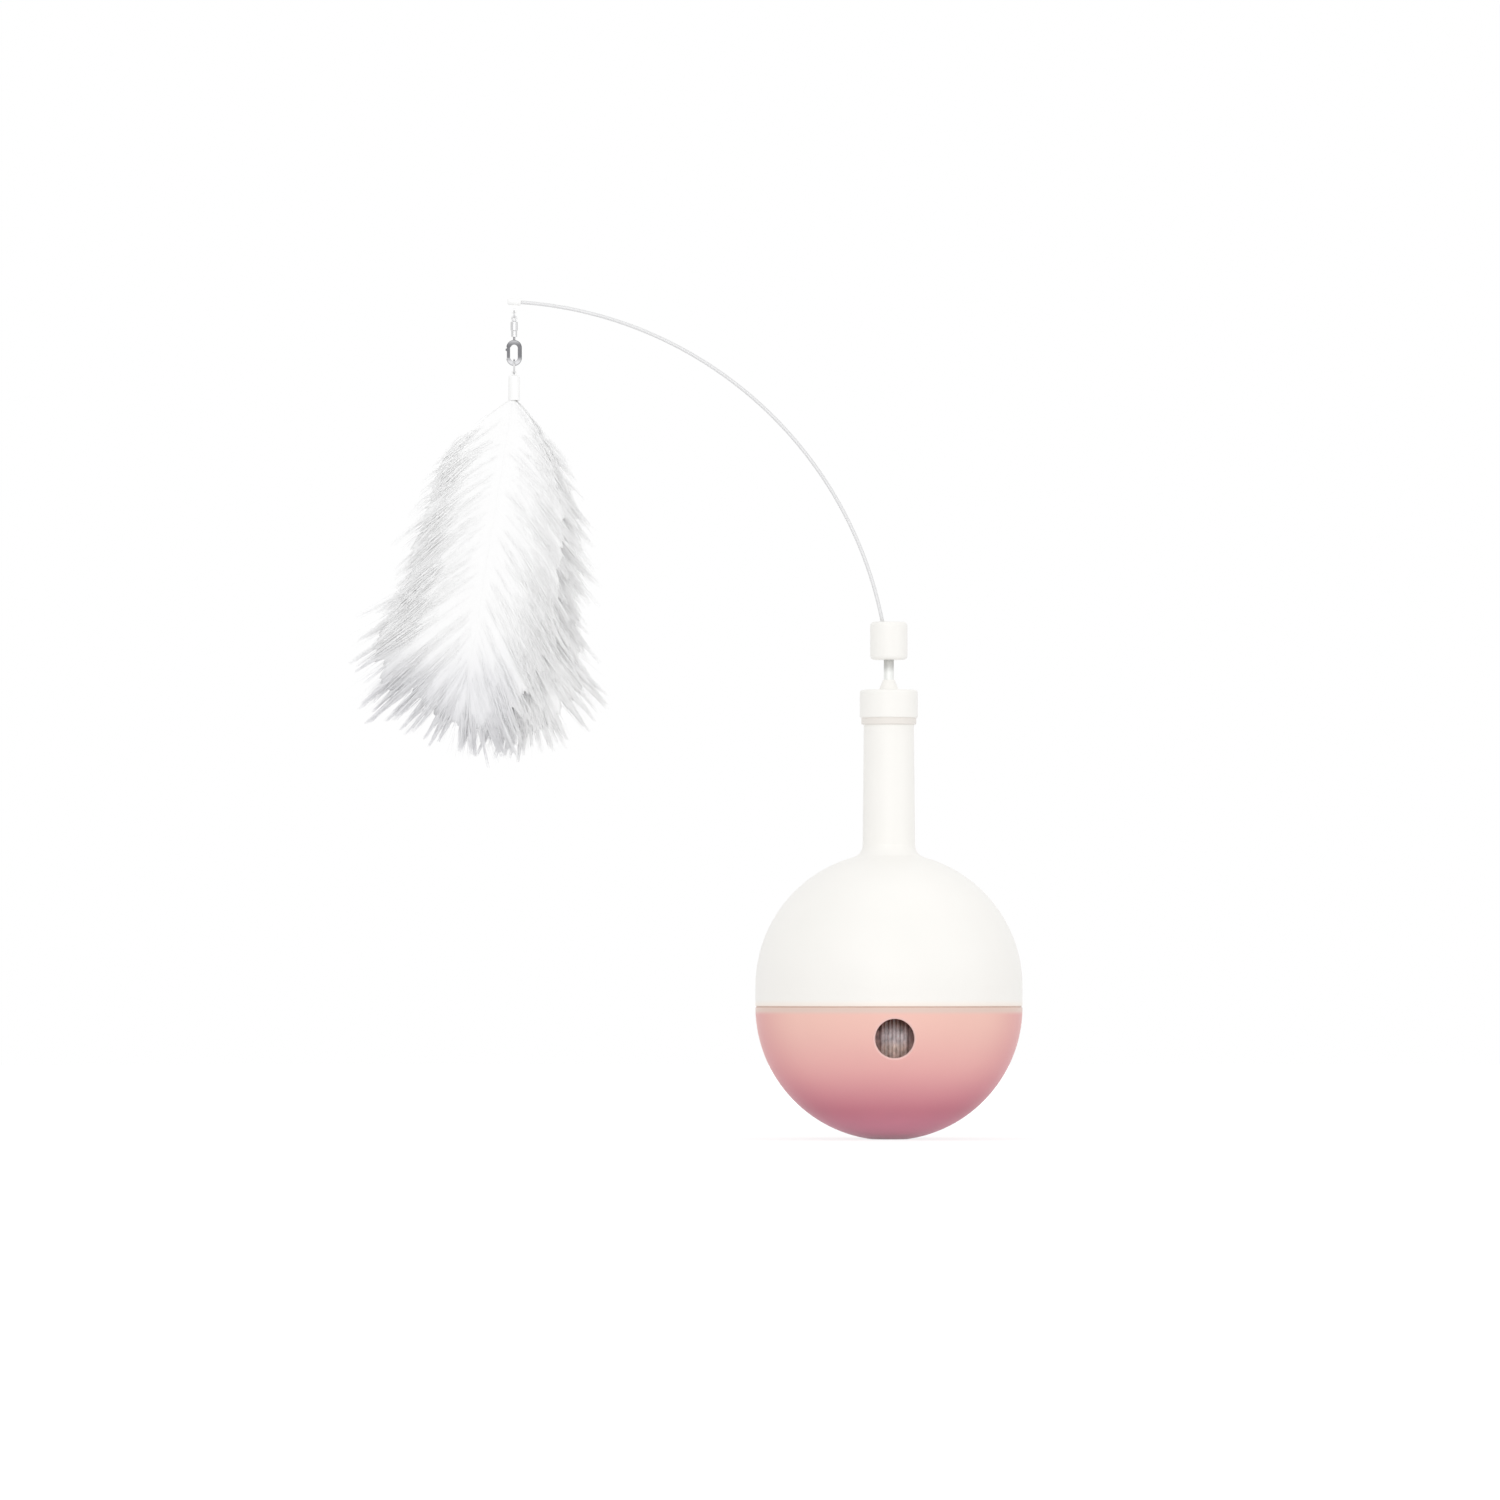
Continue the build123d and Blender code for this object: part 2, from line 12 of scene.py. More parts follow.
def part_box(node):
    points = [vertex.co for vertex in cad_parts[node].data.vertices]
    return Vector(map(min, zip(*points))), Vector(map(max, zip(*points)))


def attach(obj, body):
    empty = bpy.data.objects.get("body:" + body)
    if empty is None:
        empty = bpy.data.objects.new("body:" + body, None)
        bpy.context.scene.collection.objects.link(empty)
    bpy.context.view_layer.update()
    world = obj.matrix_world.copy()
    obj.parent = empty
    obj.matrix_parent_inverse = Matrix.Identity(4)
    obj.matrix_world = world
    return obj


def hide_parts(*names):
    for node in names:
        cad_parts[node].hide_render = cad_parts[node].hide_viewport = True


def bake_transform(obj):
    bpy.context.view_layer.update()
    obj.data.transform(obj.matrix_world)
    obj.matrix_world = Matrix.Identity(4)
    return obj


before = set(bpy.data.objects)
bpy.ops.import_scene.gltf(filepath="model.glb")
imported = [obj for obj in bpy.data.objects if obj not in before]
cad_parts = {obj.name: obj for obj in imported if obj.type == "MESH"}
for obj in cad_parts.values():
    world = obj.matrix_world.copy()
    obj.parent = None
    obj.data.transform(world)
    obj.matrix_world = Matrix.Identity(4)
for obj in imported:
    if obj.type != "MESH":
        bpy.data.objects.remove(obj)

bl_info = {
    "name": "Treat tumbler dressing",
    "version": (1, 0, 0),
    "blender": (4, 5, 0),
    "location": "View3D > Sidebar > Treat tumbler",
    "description": "Finishes, wand wire, plumes and studio for a tumbling cat treat dispenser",
    "category": "Object",
}

MM = 0.001

# Grain of each kind of surface: its scale on Object coordinates and its depth
MOULDED_GRAIN = (1500, 0.003 * MM)
FLOOR_GRAIN = (900, 0.02 * MM)
SMOKY_GRAIN = (700, 0.004 * MM)
RUBBER_GRAIN = (1100, 0.01 * MM)
TURNED_GRAIN = (2600, 0.0008 * MM)
DRAWN_GRAIN = (2200, 0.0002 * MM)
CAST_GRAIN = (700, 0.12 * MM)
QUILL_GRAIN = (1800, 0.01 * MM)

WIRE_SIDES = 12
ARC_STEPS = 90

# Barbs of the two plumes. Each row is a place down the shaft and the reach of the barb that
# starts there, across and down from the plumes' root, in millimetres
FRONT_LEFT_REACH = (
    (3.5, -16.5, 18.5), (8, -24.0, 23.9), (14, -25.8, 29.9), (20, -28.2, 38.9), (27, -31.8, 47.3),
    (34, -33.6, 56.9), (42, -36.6, 66.5), (50, -43.2, 74.9), (56, -46.8, 80.0), (62, -45.9, 89.8),
    (68, -45.0, 95.8), (74, -37.5, 100.0), (80, -28.5, 104.8), (84, -20.5, 108.4),
    (88, -14.0, 110.4),
)
FRONT_RIGHT_REACH = (
    (3.5, 9.0, 17.0), (8, 12.6, 25.4), (14, 15.0, 32.9), (20, 16.5, 41.9), (30, 15.6, 56.9),
    (40, 13.8, 71.9), (50, 12.0, 83.8), (60, 9.0, 94.3), (70, 4.5, 104.8), (78, 0.0, 109.9),
    (84, -6.5, 110.8), (88, -13.6, 110.4),
)
BACK_LEFT_REACH = (
    (5, -9.0, 17.9), (12, -16.5, 29.9), (20, -21.0, 41.9), (30, -24.0, 56.9), (40, -25.5, 71.9),
    (50, -27.0, 86.8), (60, -21.0, 97.3), (70, -12.0, 106.3), (80, -3.0, 110.2), (87, 5.6, 109.8),
)
BACK_RIGHT_REACH = (
    (3.5, 9.0, 14.9), (7, 13.8, 22.7), (12, 17.4, 30.5), (18, 20.1, 38.9), (25, 21.5, 46.4),
    (33, 21.2, 56.9), (42, 20.4, 66.5), (50, 19.8, 74.9), (56, 23.3, 81.5), (62, 22.1, 88.0),
    (68, 28.7, 94.6), (74, 22.7, 101.2), (80, 17.2, 106.3), (84, 11.5, 108.4), (87, 6.0, 109.4),
)

TOP_ROOM = 1.0 * MM  # from the first row up to the start of the barbs
LEFT_ROOM = 4.6 * MM  # how far barbs may reach past the CAD plume on the left

# A barb bows out to a knee. Shares of its run: across at the top of the vane, what that loses by
# the lower end, and across and down together
KNEE_OUT, KNEE_LOSS, KNEE_SUM = 0.62, 0.2, 0.95

# Smooth inner vane
VANE_ROWS, VANE_COLUMNS = 110, 11
LOWER_LOSS = 0.24  # what its share of the barbs loses towards the lower end
EDGE_SPREAD = 0.04  # how far its edge strays from row to row
VANE_DIP = 0.1 * MM  # how far it dips under the vane on the other side of the shaft
# The grey that the vane's edge takes is the down's painted shade
VANE_TONE = 0.7  # how much grey its edge takes

# Loose barbs, and the tufts that they draw together into
CROWDING = 0.75  # below 1, they crowd towards the lower end
TUFT_REACH = (0.975, 0.055)  # mean and spread, against the rows above
TUFT_TURN, BARB_TURN = 0.06, 0.03  # spreads, in radians
TUFT_LIFT, BARB_LIFT = 0.5, 0.45  # spreads, as shares of the plumes' Depth
TUFT_SPREAD = (0.4, 1.6)  # of the number of barbs in a tuft
SMALLEST_TUFT = 3
TUFT_COUNT = 2400  # barbs on a side for which TUFT_BARBS holds
EARLY_BARBS = 0.16  # share that shows from near the shaft on
EARLY_START, LATE_START = (0.05, 0.48), (0.48, 0.76)
FALL_SHORT, SHORT_POWER = 0.35, 2.5  # how far they end short of their reach, and how rarely
SHORTEST = 0.15  # share of a barb that shows at least
WAVES = (0.6, 1.6)  # along a barb
SWAY_WIDTH = 0.4 * MM
LIMIT_SCATTER = 0.4 * MM  # how unevenly they end at LEFT_ROOM
CLEARANCE = (0.08, 0.26)  # from the vane to a barb's root, in millimetres
STRAY_RISE, STRAY_DELAY = 1.1, 0.3  # how soon along a barb it leaves the vane
# Tufts and barbs take the down's painted shade of grey in random amounts
TUFT_TONES, BARB_TONE = (0.25, 1.0), 0.12  # how much grey a tuft takes, and a barb's spread

# What changes from the top of the vane (0) to its lower end (1)
TUFT_BARBS = ((0, 0.45, 0.75, 1), (10, 16, 42, 60))
PULL_START = ((0, 0.5, 0.8), (0.5, 0.45, 0.3))
PULL = ((0, 0.4, 0.7, 1), (0.5, 0.55, 0.9, 0.96))
SWAY = ((0, 0.3), (0.1, 1))
STRAY = ((0, 0.35, 0.8), (0.25, 0.6, 1.1))

# Strand that a barb is made of
STRAND_SIDES = 4
STRAND_WIDTHS = (0.7, 1.2)
ROOT_WIDTH, WIDENING, TAPER = 0.6, 3, 0.85  # at the root, its growth, and its loss to the tip
FLATNESS = 0.45  # thickness against width
OWN_FACING = 0.55  # how much of its own facing it keeps, against the vane's

# Painted shade: grey of the down. From GREY_START to GREY_FULL below the root it comes to cover
# whole barbs
GREY_START, GREY_FULL = 66 * MM, 90 * MM
LOW_GREY = 0.95
GREY_FADE = 6 * MM  # to each side of the root, where the left side's grey goes over to white
GREY_TIPS = (0.3, 0.95)  # shares of a barb
STREAKS = (3, 160, 1)  # along a barb, and across the barbs
STREAK_SHADE = 0.035
STREAK_DEPTH = 0.05 * MM

LAMP_AIM = (-0.03, 0, 0.12)
FLOOR_RADIUS = 2.5
FLOOR_GREY = (0.88, 0.88, 0.88, 1)
FLOOR_GLOW = (0.15, 1.0, 1.14, 1.4)  # two distances from the toy, and the strength at each
FLOOR_GLOW_SHARE = 0.7


def a_colour(name, description, default):
    """Setting of a colour."""
    return FloatVectorProperty(
        name=name, description=description, subtype="COLOR", default=default, min=0, max=1)


def a_length(name, description, default):
    """Setting of a length, with its default in millimetres."""
    return FloatProperty(
        name=name, description=description, unit="LENGTH", default=default * MM, precision=5)


def an_angle(name, description, default):
    """Setting of an angle, with its default in degrees."""
    return FloatProperty(
        name=name, description=description, subtype="ANGLE", default=math.radians(default))


def a_share(name, description, default):
    """Setting of a share from 0 to 1."""
    return FloatProperty(
        name=name, description=description, subtype="FACTOR", default=default, min=0, max=1)


def a_strength(name, description, default):
    """Setting of a light's strength."""
    return FloatProperty(name=name, description=description, default=default, min=0)


class PlasticSettings(PropertyGroup):
    """Colours and gloss of the moulded plastics, and the sizes of their zones of colour."""
    # Painted light and shade: the bowl goes from lit peach near the seam through pink to shaded
    # rose low down, with painted light bounced from the floor round its foot
    peach: a_colour("Peach", "Colour of the bowl near the seam", (0.908, 0.567, 0.493))
    pink: a_colour("Pink", "Colour of the bowl at half its height", (0.85, 0.443, 0.432))
    rose: a_colour("Rose", "Colour of the bowl low down", (0.65, 0.24, 0.315))
    foot: a_colour("Foot", "Colour of the bowl round its foot", (0.98, 0.50, 0.62))
    # Painted shade: the bowl's sides and back are darker than its front
    flank_shade: a_colour(
        "Flank", "Tint of the bowl's sides and back, beside its paler front", (0.86, 0.69, 0.76))
    # Painted shade: the greyer beige lip under the seam
    lip: a_colour("Lip", "Colour of the bowl's lip", (0.80, 0.61, 0.54))
    # Painted highlight: the paler pink on the outlet's rounded edge
    outlet_highlight: a_colour("Outlet edge", "Colour of the outlet's edge", (0.92, 0.64, 0.60))
    # Painted shade: the dark line in the seam between shell and bowl
    seam_shade: a_colour(
        "Seam dust", "Colour of the dust that gathers in the seam", (0.70, 0.53, 0.46))
    white: a_colour("White", "Colour of the shell, cap and wire holder", (0.95, 0.935, 0.90))
    # Painted bounce light: the shell is warmer just above the seam, where light comes up off the
    # pink bowl
    warm_white: a_colour(
        "Warm white", "Colour of the shell just above the seam", (0.97, 0.88, 0.80))
    # Painted shade: the flange's darker band is the shade under the cap's rim
    flange: a_colour(
        "Flange", "Colour of the neck's flange, where fingers pull at the cap", (0.85, 0.81, 0.765))
    flange_height: a_length("Flange height", "Height of the flange at the top of the neck", 2.1)
    snow: a_colour(
        "Snow", "Colour of the end sleeve and the feather's ferrule", (0.97, 0.97, 0.965))
    smoke: a_colour("Smoke", "Tint of the ribbed baffle", (1.0, 0.90, 0.92))
    # Painted light and shade on the baffle behind the outlet: tan where light falls in on the lower
    # half, shade behind the outlet's edge, and deep shade behind its top and above it
    smoke_low: a_colour(
        "Low smoke", "Tint of the baffle behind the outlet's lower half", (0.92, 0.76, 0.67))
    smoke_edge: a_colour(
        "Smoke edge", "Tint of the baffle behind the outlet's edge", (0.60, 0.38, 0.36))
    shade: a_colour(
        "Shade", "Colour of the baffle behind the outlet's top and above it", (0.285, 0.14, 0.11))
    outlet_across: a_length("Outlet across", "From the ball's middle to the outlet's axis", 1.2)
    outlet_drop: a_length("Outlet drop", "From the seam down to the outlet's axis", 9.3)
    outlet_radius: a_length("Outlet radius", "Radius of the treat outlet", 5.8)
    tan: a_colour("Tan", "Colour of the chamber floor", (0.70, 0.42, 0.34))
    silicone: a_colour("Silicone", "Colour of the seal ring", (0.78, 0.77, 0.74))
    roughness: a_share("Roughness", "Roughness of the outer mouldings", 0.36)
    lip_height: a_length("Lip height", "Height of the beige lip under the seam", 1.7)
    seam_width: a_length("Seam width", "Height of the line of dust in the seam", 0.7)
    edge_width: a_length("Edge width", "Width of the paler pink edge round the outlet", 0.8)


class MetalSettings(PropertyGroup):
    """Colours of the metals."""
    wire: a_colour("Wire", "Colour of the spring wire", (0.74, 0.74, 0.745))
    nickel: a_colour("Nickel", "Colour of the swivel and rings", (0.64, 0.64, 0.645))
    dark_nickel: a_colour("Dark nickel", "Colour of the snap clasp", (0.13, 0.13, 0.137))
    # Painted highlights: the clasp's lower and upper bends are lighter than the rest
    lower_bend_highlight: a_colour(
        "Worn nickel", "Colour of the clasp's worn lower bend", (0.43, 0.43, 0.44))
    upper_bend_highlight: a_colour(
        "Rubbed nickel", "Colour of the clasp's rubbed upper bend", (0.32, 0.32, 0.33))
    # Painted light and shade: the pin's upper end lies in the wire holder's shadow, its lower end
    # is lighter
    shaded_steel: a_colour(
        "Dull steel", "Colour of the pin just under the wire holder", (0.53, 0.53, 0.51))
    lit_steel: a_colour(
        "Bright steel", "Colour of the pin's polished lower end", (0.83, 0.84, 0.82))
    steel: a_colour(
        "Steel", "Colour of the thrust washer, retaining clip and screws", (0.60, 0.59, 0.56))
    brass: a_colour("Brass", "Colour of the pivot bush", (0.74, 0.52, 0.22))
    iron: a_colour("Iron", "Colour of the cast weight", (0.09, 0.09, 0.095))


class WireSettings(PropertyGroup):
    """Sizes of the wand's spring wire."""
    radius: a_length("Wire radius", "Half the wire's thickness", 0.55)
    exit_off: a_length("Exit", "Where the wire leaves its holder, from the axis", 1.9)
    lean: an_angle("Lean", "Lean of the wire where it leaves its holder", 12.4)
    seat: a_length("Seat", "Straight length inside the holder", 6.5)
    foot: a_length("Foot", "Straight length above the holder", 3.1)
    arc_radius: a_length("Arc", "Radius of the wand's arc", 118.6)
    arc_turn: an_angle("Turn", "Angle of the wand's arc", 73.7)
    tail: a_length("Tail", "Straight length inside the end sleeve", 2.3)


class PlumeSettings(PropertyGroup):
    """Sizes and colours of the two plumes."""
    root_depth: a_length("Root", "Depth of the shafts in the ferrule", 3.0)
    shaft_off: a_length("Shaft offset", "From the feather's middle plane to each shaft", 0.5)
    front_lean: an_angle("Front lean", "Lean of the front plume's shaft", 9)
    back_lean: an_angle("Back lean", "Lean of the back plume's shaft", -3)
    curl: a_length("Curl", "Radius to which the vanes curl", 95)
    overlap: a_share(
        "Overlap", "Share of the barbs' length by which the vane reaches over its shaft", 0.022)
    shaft_cover: a_length("Shaft cover", "How far the vane swells over its shaft", 0.6)
    swell_width: a_length("Swell width", "Width of the swelling, to each side of the shaft", 3.5)
    depth: a_length("Depth", "How far barbs' tips stray out of the vane", 2.9)
    right_looseness: a_share(
        "Right looseness", "How far barbs stray on the right sides, against the left ones", 0.5)
    barb_radius: a_length("Barb", "Half the width of a barb at its root", 0.16)
    vane_share: a_share(
        "Vane", "Share of the barbs' length that clings together as a smooth vane", 0.90)
    vane_thickness: a_length("Vane thickness", "Thickness of the smooth vane", 0.12)
    barbs: IntProperty(
        name="Barbs", description="Barbs on each side of each shaft", default=2400, min=10)
    wisps: IntProperty(
        name="Wisps", description="Fine stray barbs on each side of each shaft", default=500,
        min=10)
    seed: IntProperty(name="Seed", description="Seed of the barbs' scatter", default=7)
    down_white: a_colour("White", "Colour of the barbs near the shaft", (0.97, 0.97, 0.97))
    keratin: a_colour("Keratin", "Colour of the shafts", (0.90, 0.89, 0.86))
    # Painted shade: the greys of the barbs' tips
    edge_grey: a_colour("Edge", "Colour of the barbs' tips at the sides", (0.97, 0.97, 0.972))
    tip_grey: a_colour("Tip", "Colour of the barbs' tips at the lower end", (0.87, 0.87, 0.885))


class StudioSettings(PropertyGroup):
    """Camera and light."""
    centre: FloatVectorProperty(
        name="Centre", description="Point that the camera looks at",
        subtype="TRANSLATION", default=(-41.6 * MM, 0, 116.5 * MM), precision=5)
    distance: a_length("Distance", "From the centre to the camera", 3000)
    elevation: an_angle("Elevation", "Of the camera, above the horizon", -1.3)
    width: a_length("Width", "Width of the view at the centre", 449.4)
    ambient: a_strength("Ambient", "Strength of the light from all round", 0.80)
    front: a_strength("Front", "Power of the large front lamp, in watts", 10.0)
    left: a_strength("Left", "Power of the lamp high on the left, in watts", 2.4)
    right: a_strength("Right", "Power of the right lamp, in watts", 1.8)
    top: a_strength("Top", "Power of the overhead lamp, in watts", 1.5)


class TumblerSettings(PropertyGroup):
    """All sizes and colours of the toy and its studio."""
    plastic: PointerProperty(type=PlasticSettings)
    metal: PointerProperty(type=MetalSettings)
    wire: PointerProperty(type=WireSettings)
    plume: PointerProperty(type=PlumeSettings)
    studio: PointerProperty(type=StudioSettings)


def new_group(name, inputs, outputs):
    """Empty shader group with the named sockets. Returns it with its input and output nodes."""
    group = bpy.data.node_groups.new(name, "ShaderNodeTree")
    for socket, kind in inputs:
        group.interface.new_socket(name=socket, in_out="INPUT", socket_type=kind)
    for socket, kind in outputs:
        group.interface.new_socket(name=socket, in_out="OUTPUT", socket_type=kind)
    return group, group.nodes.new("NodeGroupInput"), group.nodes.new("NodeGroupOutput")


def feed(tree, value, slot):
    """Sets a socket to a number, or links a socket to it."""
    if isinstance(value, (int, float)):
        slot.default_value = value
    else:
        tree.links.new(value, slot)


def noise(tree, vector, scale, detail):
    """Noise texture on a vector. The scale is a number or a socket."""
    node = tree.nodes.new("ShaderNodeTexNoise")
    node.inputs["Detail"].default_value = detail
    tree.links.new(vector, node.inputs["Vector"])
    feed(tree, scale, node.inputs["Scale"])
    return node.outputs["Fac"]


def maths(tree, operation, first, second):
    """Math node on two sockets or numbers."""
    node = tree.nodes.new("ShaderNodeMath")
    node.operation = operation
    feed(tree, first, node.inputs[0])
    feed(tree, second, node.inputs[1])
    return node.outputs[0]


def around_one(tree, value, spread):
    """1 plus or minus a spread, as a noise value goes from 0 to 1."""
    off = maths(tree, "SUBTRACT", value, 0.5)
    return maths(tree, "ADD", maths(tree, "MULTIPLY", off, spread), 1.0)


def scaled_colour(tree, colour, factor):
    """Colour times a factor."""
    node = tree.nodes.new("ShaderNodeVectorMath")
    node.operation = "SCALE"
    tree.links.new(colour, node.inputs[0])
    tree.links.new(factor, node.inputs["Scale"])
    return node.outputs[0]


def map_range(tree, value, low, high, start=0.0, end=1.0):
    """Value taken smoothly from one range to another."""
    node = tree.nodes.new("ShaderNodeMapRange")
    node.interpolation_type = "SMOOTHSTEP"
    set_sockets(node, {"From Min": low, "From Max": high, "To Min": start, "To Max": end})
    tree.links.new(value, node.inputs["Value"])
    return node.outputs["Result"]


def mixed(tree, share, first, second, blend="MIX"):
    """Colour between two colours or colour sockets."""
    node = tree.nodes.new("ShaderNodeMix")
    node.data_type = "RGBA"
    node.blend_type = blend
    tree.links.new(share, node.inputs[0])
    for slot, value in ((node.inputs[6], first), (node.inputs[7], second)):
        if isinstance(value, bpy.types.NodeSocket):
            tree.links.new(value, slot)
        else:
            slot.default_value = (*value, 1)
    return node.outputs[2]


def object_parts(tree):
    """The three parts of Object coordinates, by the names X, Y and Z."""
    place = tree.nodes.new("ShaderNodeTexCoord")
    parts = tree.nodes.new("ShaderNodeSeparateXYZ")
    tree.links.new(place.outputs["Object"], parts.inputs[0])
    return parts.outputs


def surface_group(name, stretch, coarse_scale, coarse_detail):
    """Group that varies a colour and a roughness and gives a fine grain's height.

    The grain is stretched along the axes, as tool marks and drawn metal are.
    """
    group, start, end = new_group(
        name,
        (("Vector", "NodeSocketVector"), ("Color", "NodeSocketColor"), ("Shade", "NodeSocketFloat"),
         ("Roughness", "NodeSocketFloat"), ("Roughness Spread", "NodeSocketFloat"),
         ("Grain Scale", "NodeSocketFloat")),
        (("Color", "NodeSocketColor"), ("Roughness", "NodeSocketFloat"),
         ("Height", "NodeSocketFloat")))
    mapping = group.nodes.new("ShaderNodeMapping")
    mapping.inputs["Scale"].default_value = stretch
    group.links.new(start.outputs["Vector"], mapping.inputs["Vector"])
    cloud = noise(group, start.outputs["Vector"], coarse_scale, coarse_detail)
    grain = noise(group, mapping.outputs["Vector"], start.outputs["Grain Scale"], detail=3)
    tone = around_one(group, cloud, start.outputs["Shade"])
    group.links.new(scaled_colour(group, start.outputs["Color"], tone), end.inputs["Color"])
    both = maths(group, "MULTIPLY", maths(group, "ADD", cloud, grain), 0.5)
    spread = around_one(group, both, start.outputs["Roughness Spread"])
    roughness = maths(group, "MULTIPLY", start.outputs["Roughness"], spread)
    group.links.new(roughness, end.inputs["Roughness"])
    group.links.new(grain, end.inputs["Height"])
    return group


def shared_group(name, **recipe):
    """The group of that name, built the first time it is asked for."""
    return bpy.data.node_groups.get(name) or surface_group(name, **recipe)


def moulded_skin():
    """Skin of moulded plastic: a faint cloud in the colour and a fine even grain."""
    return shared_group("moulded_skin", stretch=(1, 1, 1), coarse_scale=45, coarse_detail=2)


def clouded_skin():
    """Skin of smoky, streaky plastic: millimetre clouds in the colour and a fine even grain."""
    return shared_group("clouded_skin", stretch=(1, 1, 1), coarse_scale=620, coarse_detail=4)


def drawn_skin():
    """Skin of drawn or turned metal: fine marks round the upright axis."""
    return shared_group("drawn_skin", stretch=(1, 1, 9), coarse_scale=220, coarse_detail=3)


def cast_skin():
    """Skin of a sand casting: coarse pits."""
    return shared_group("cast_skin", stretch=(1, 1, 1), coarse_scale=160, coarse_detail=6)


def new_material(name):
    """Material with a bare Principled shader. Returns the material and the shader."""
    material = bpy.data.materials.new(name)
    material.use_nodes = True
    tree = material.node_tree
    tree.nodes.clear()
    output = tree.nodes.new("ShaderNodeOutputMaterial")
    shader = tree.nodes.new("ShaderNodeBsdfPrincipled")
    tree.links.new(shader.outputs["BSDF"], output.inputs["Surface"])
    return material, shader


def set_sockets(node, values):
    """Sets constant sockets by name."""
    for socket, value in values.items():
        node.inputs[socket].default_value = value


def add_bump(tree, shader, height, distance, strength=1.0):
    """Bump on the shader from a height."""
    bump = tree.nodes.new("ShaderNodeBump")
    set_sockets(bump, {"Distance": distance, "Strength": strength})
    tree.links.new(height, bump.inputs["Height"])
    tree.links.new(bump.outputs["Normal"], shader.inputs["Normal"])


def skinned(name, group, colour, roughness, grain, shade=0.04, spread=0.3, **constants):
    """Material with one of the skins. Returns it and the skin's node."""
    material, shader = new_material(name)
    tree = material.node_tree
    place = tree.nodes.new("ShaderNodeTexCoord")
    skin = tree.nodes.new("ShaderNodeGroup")
    skin.node_tree = group
    tree.links.new(place.outputs["Object"], skin.inputs["Vector"])
    grain_scale, grain_depth = grain
    set_sockets(skin, {"Color": (*colour, 1), "Shade": shade, "Roughness": roughness,
                       "Roughness Spread": spread, "Grain Scale": grain_scale})
    tree.links.new(skin.outputs["Color"], shader.inputs["Base Color"])
    tree.links.new(skin.outputs["Roughness"], shader.inputs["Roughness"])
    add_bump(tree, shader, skin.outputs["Height"], grain_depth)
    set_sockets(shader, {key.replace("_", " "): value for key, value in constants.items()})
    return material, skin


def moulding(name, colour, sizes, **constants):
    """Material of the outer mouldings, and its skin's node."""
    return skinned(name, moulded_skin(), colour, sizes.roughness, MOULDED_GRAIN, **constants)


def turned_metal(name, colour, roughness, metallic):
    """Material of turned, stamped or bent metal, and its skin's node."""
    return skinned(name, drawn_skin(), colour, roughness, TURNED_GRAIN, shade=0.08,
                   Metallic=metallic)


def banded_metal(name, colour, roughness, metallic, bands):
    """Metal that goes over to another colour in each band, between the band's two heights."""
    metal, skin = turned_metal(name, colour, roughness, metallic)
    tree = metal.node_tree
    z = object_parts(tree)["Z"]
    for other, start_z, end_z in bands:
        colour = mixed(tree, map_range(tree, z, start_z, end_z), colour, other)
    tree.links.new(colour, skin.inputs["Color"])
    return metal


def finish_node(names, material):
    """Gives CAD nodes a finish."""
    for name in names:
        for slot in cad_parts[name].material_slots:
            slot.material = material


def of_kind(items, kind):
    """The items of a bmesh result that are of one kind."""
    return [item for item in items if isinstance(item, kind)]


def finished_mesh(bm, name):
    """Smoothly shaded mesh of a bmesh, with its faces pointing outwards."""
    bmesh.ops.recalc_face_normals(bm, faces=bm.faces[:])
    mesh = bpy.data.meshes.new(name)
    bm.to_mesh(mesh)
    bm.free()
    mesh.shade_smooth()
    return mesh


def add_object(name, mesh, material, body):
    """New piece at the origin with its finish, that rides on a body when one is given."""
    piece = bpy.data.objects.new(name, mesh)
    bpy.context.scene.collection.objects.link(piece)
    mesh.materials.clear()
    mesh.materials.append(material)
    if body:
        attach(piece, body)
    return piece


def from_outlet(tree, place, sizes, seam_z):
    """Distance from the outlet's axis, which runs from front to back."""
    flat = tree.nodes.new("ShaderNodeCombineXYZ")
    for axis in "XZ":
        tree.links.new(place[axis], flat.inputs[axis])
    away = tree.nodes.new("ShaderNodeVectorMath")
    away.operation = "DISTANCE"
    away.inputs[1].default_value = (sizes.outlet_across, 0, seam_z - sizes.outlet_drop)
    tree.links.new(flat.outputs[0], away.inputs[0])
    return away.outputs["Value"]


def finish_shell(sizes, seam_z):
    """White shell: warmer above the seam with painted bounce light from the bowl, darker at the
    neck's flange with painted shade under the cap, and painted shade in the seam.
    """
    shell, skin = moulding("shell_plastic", sizes.white, sizes)
    tree = shell.node_tree
    z = object_parts(tree)["Z"]
    # Painted bounce light from the pink bowl, just above the seam
    warm = map_range(tree, z, seam_z + 1.4 * sizes.lip_height, seam_z)
    colour = mixed(tree, warm, sizes.white, sizes.warm_white)
    # Painted shade under the cap's rim, on the neck's flange
    top_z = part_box("upper_shell")[1].z
    tall = sizes.flange_height
    flange = map_range(tree, z, top_z - 1.1 * tall, top_z - 0.9 * tall)
    colour = mixed(tree, flange, colour, sizes.flange)
    # Painted shade in the seam
    above = map_range(tree, z, seam_z + sizes.seam_width / 2, seam_z)
    below = map_range(tree, z, seam_z - sizes.seam_width, seam_z - sizes.seam_width / 2)
    shading = maths(tree, "MULTIPLY", above, below)
    tree.links.new(mixed(tree, shading, colour, sizes.seam_shade), skin.inputs["Color"])
    finish_node(("upper_shell",), shell)


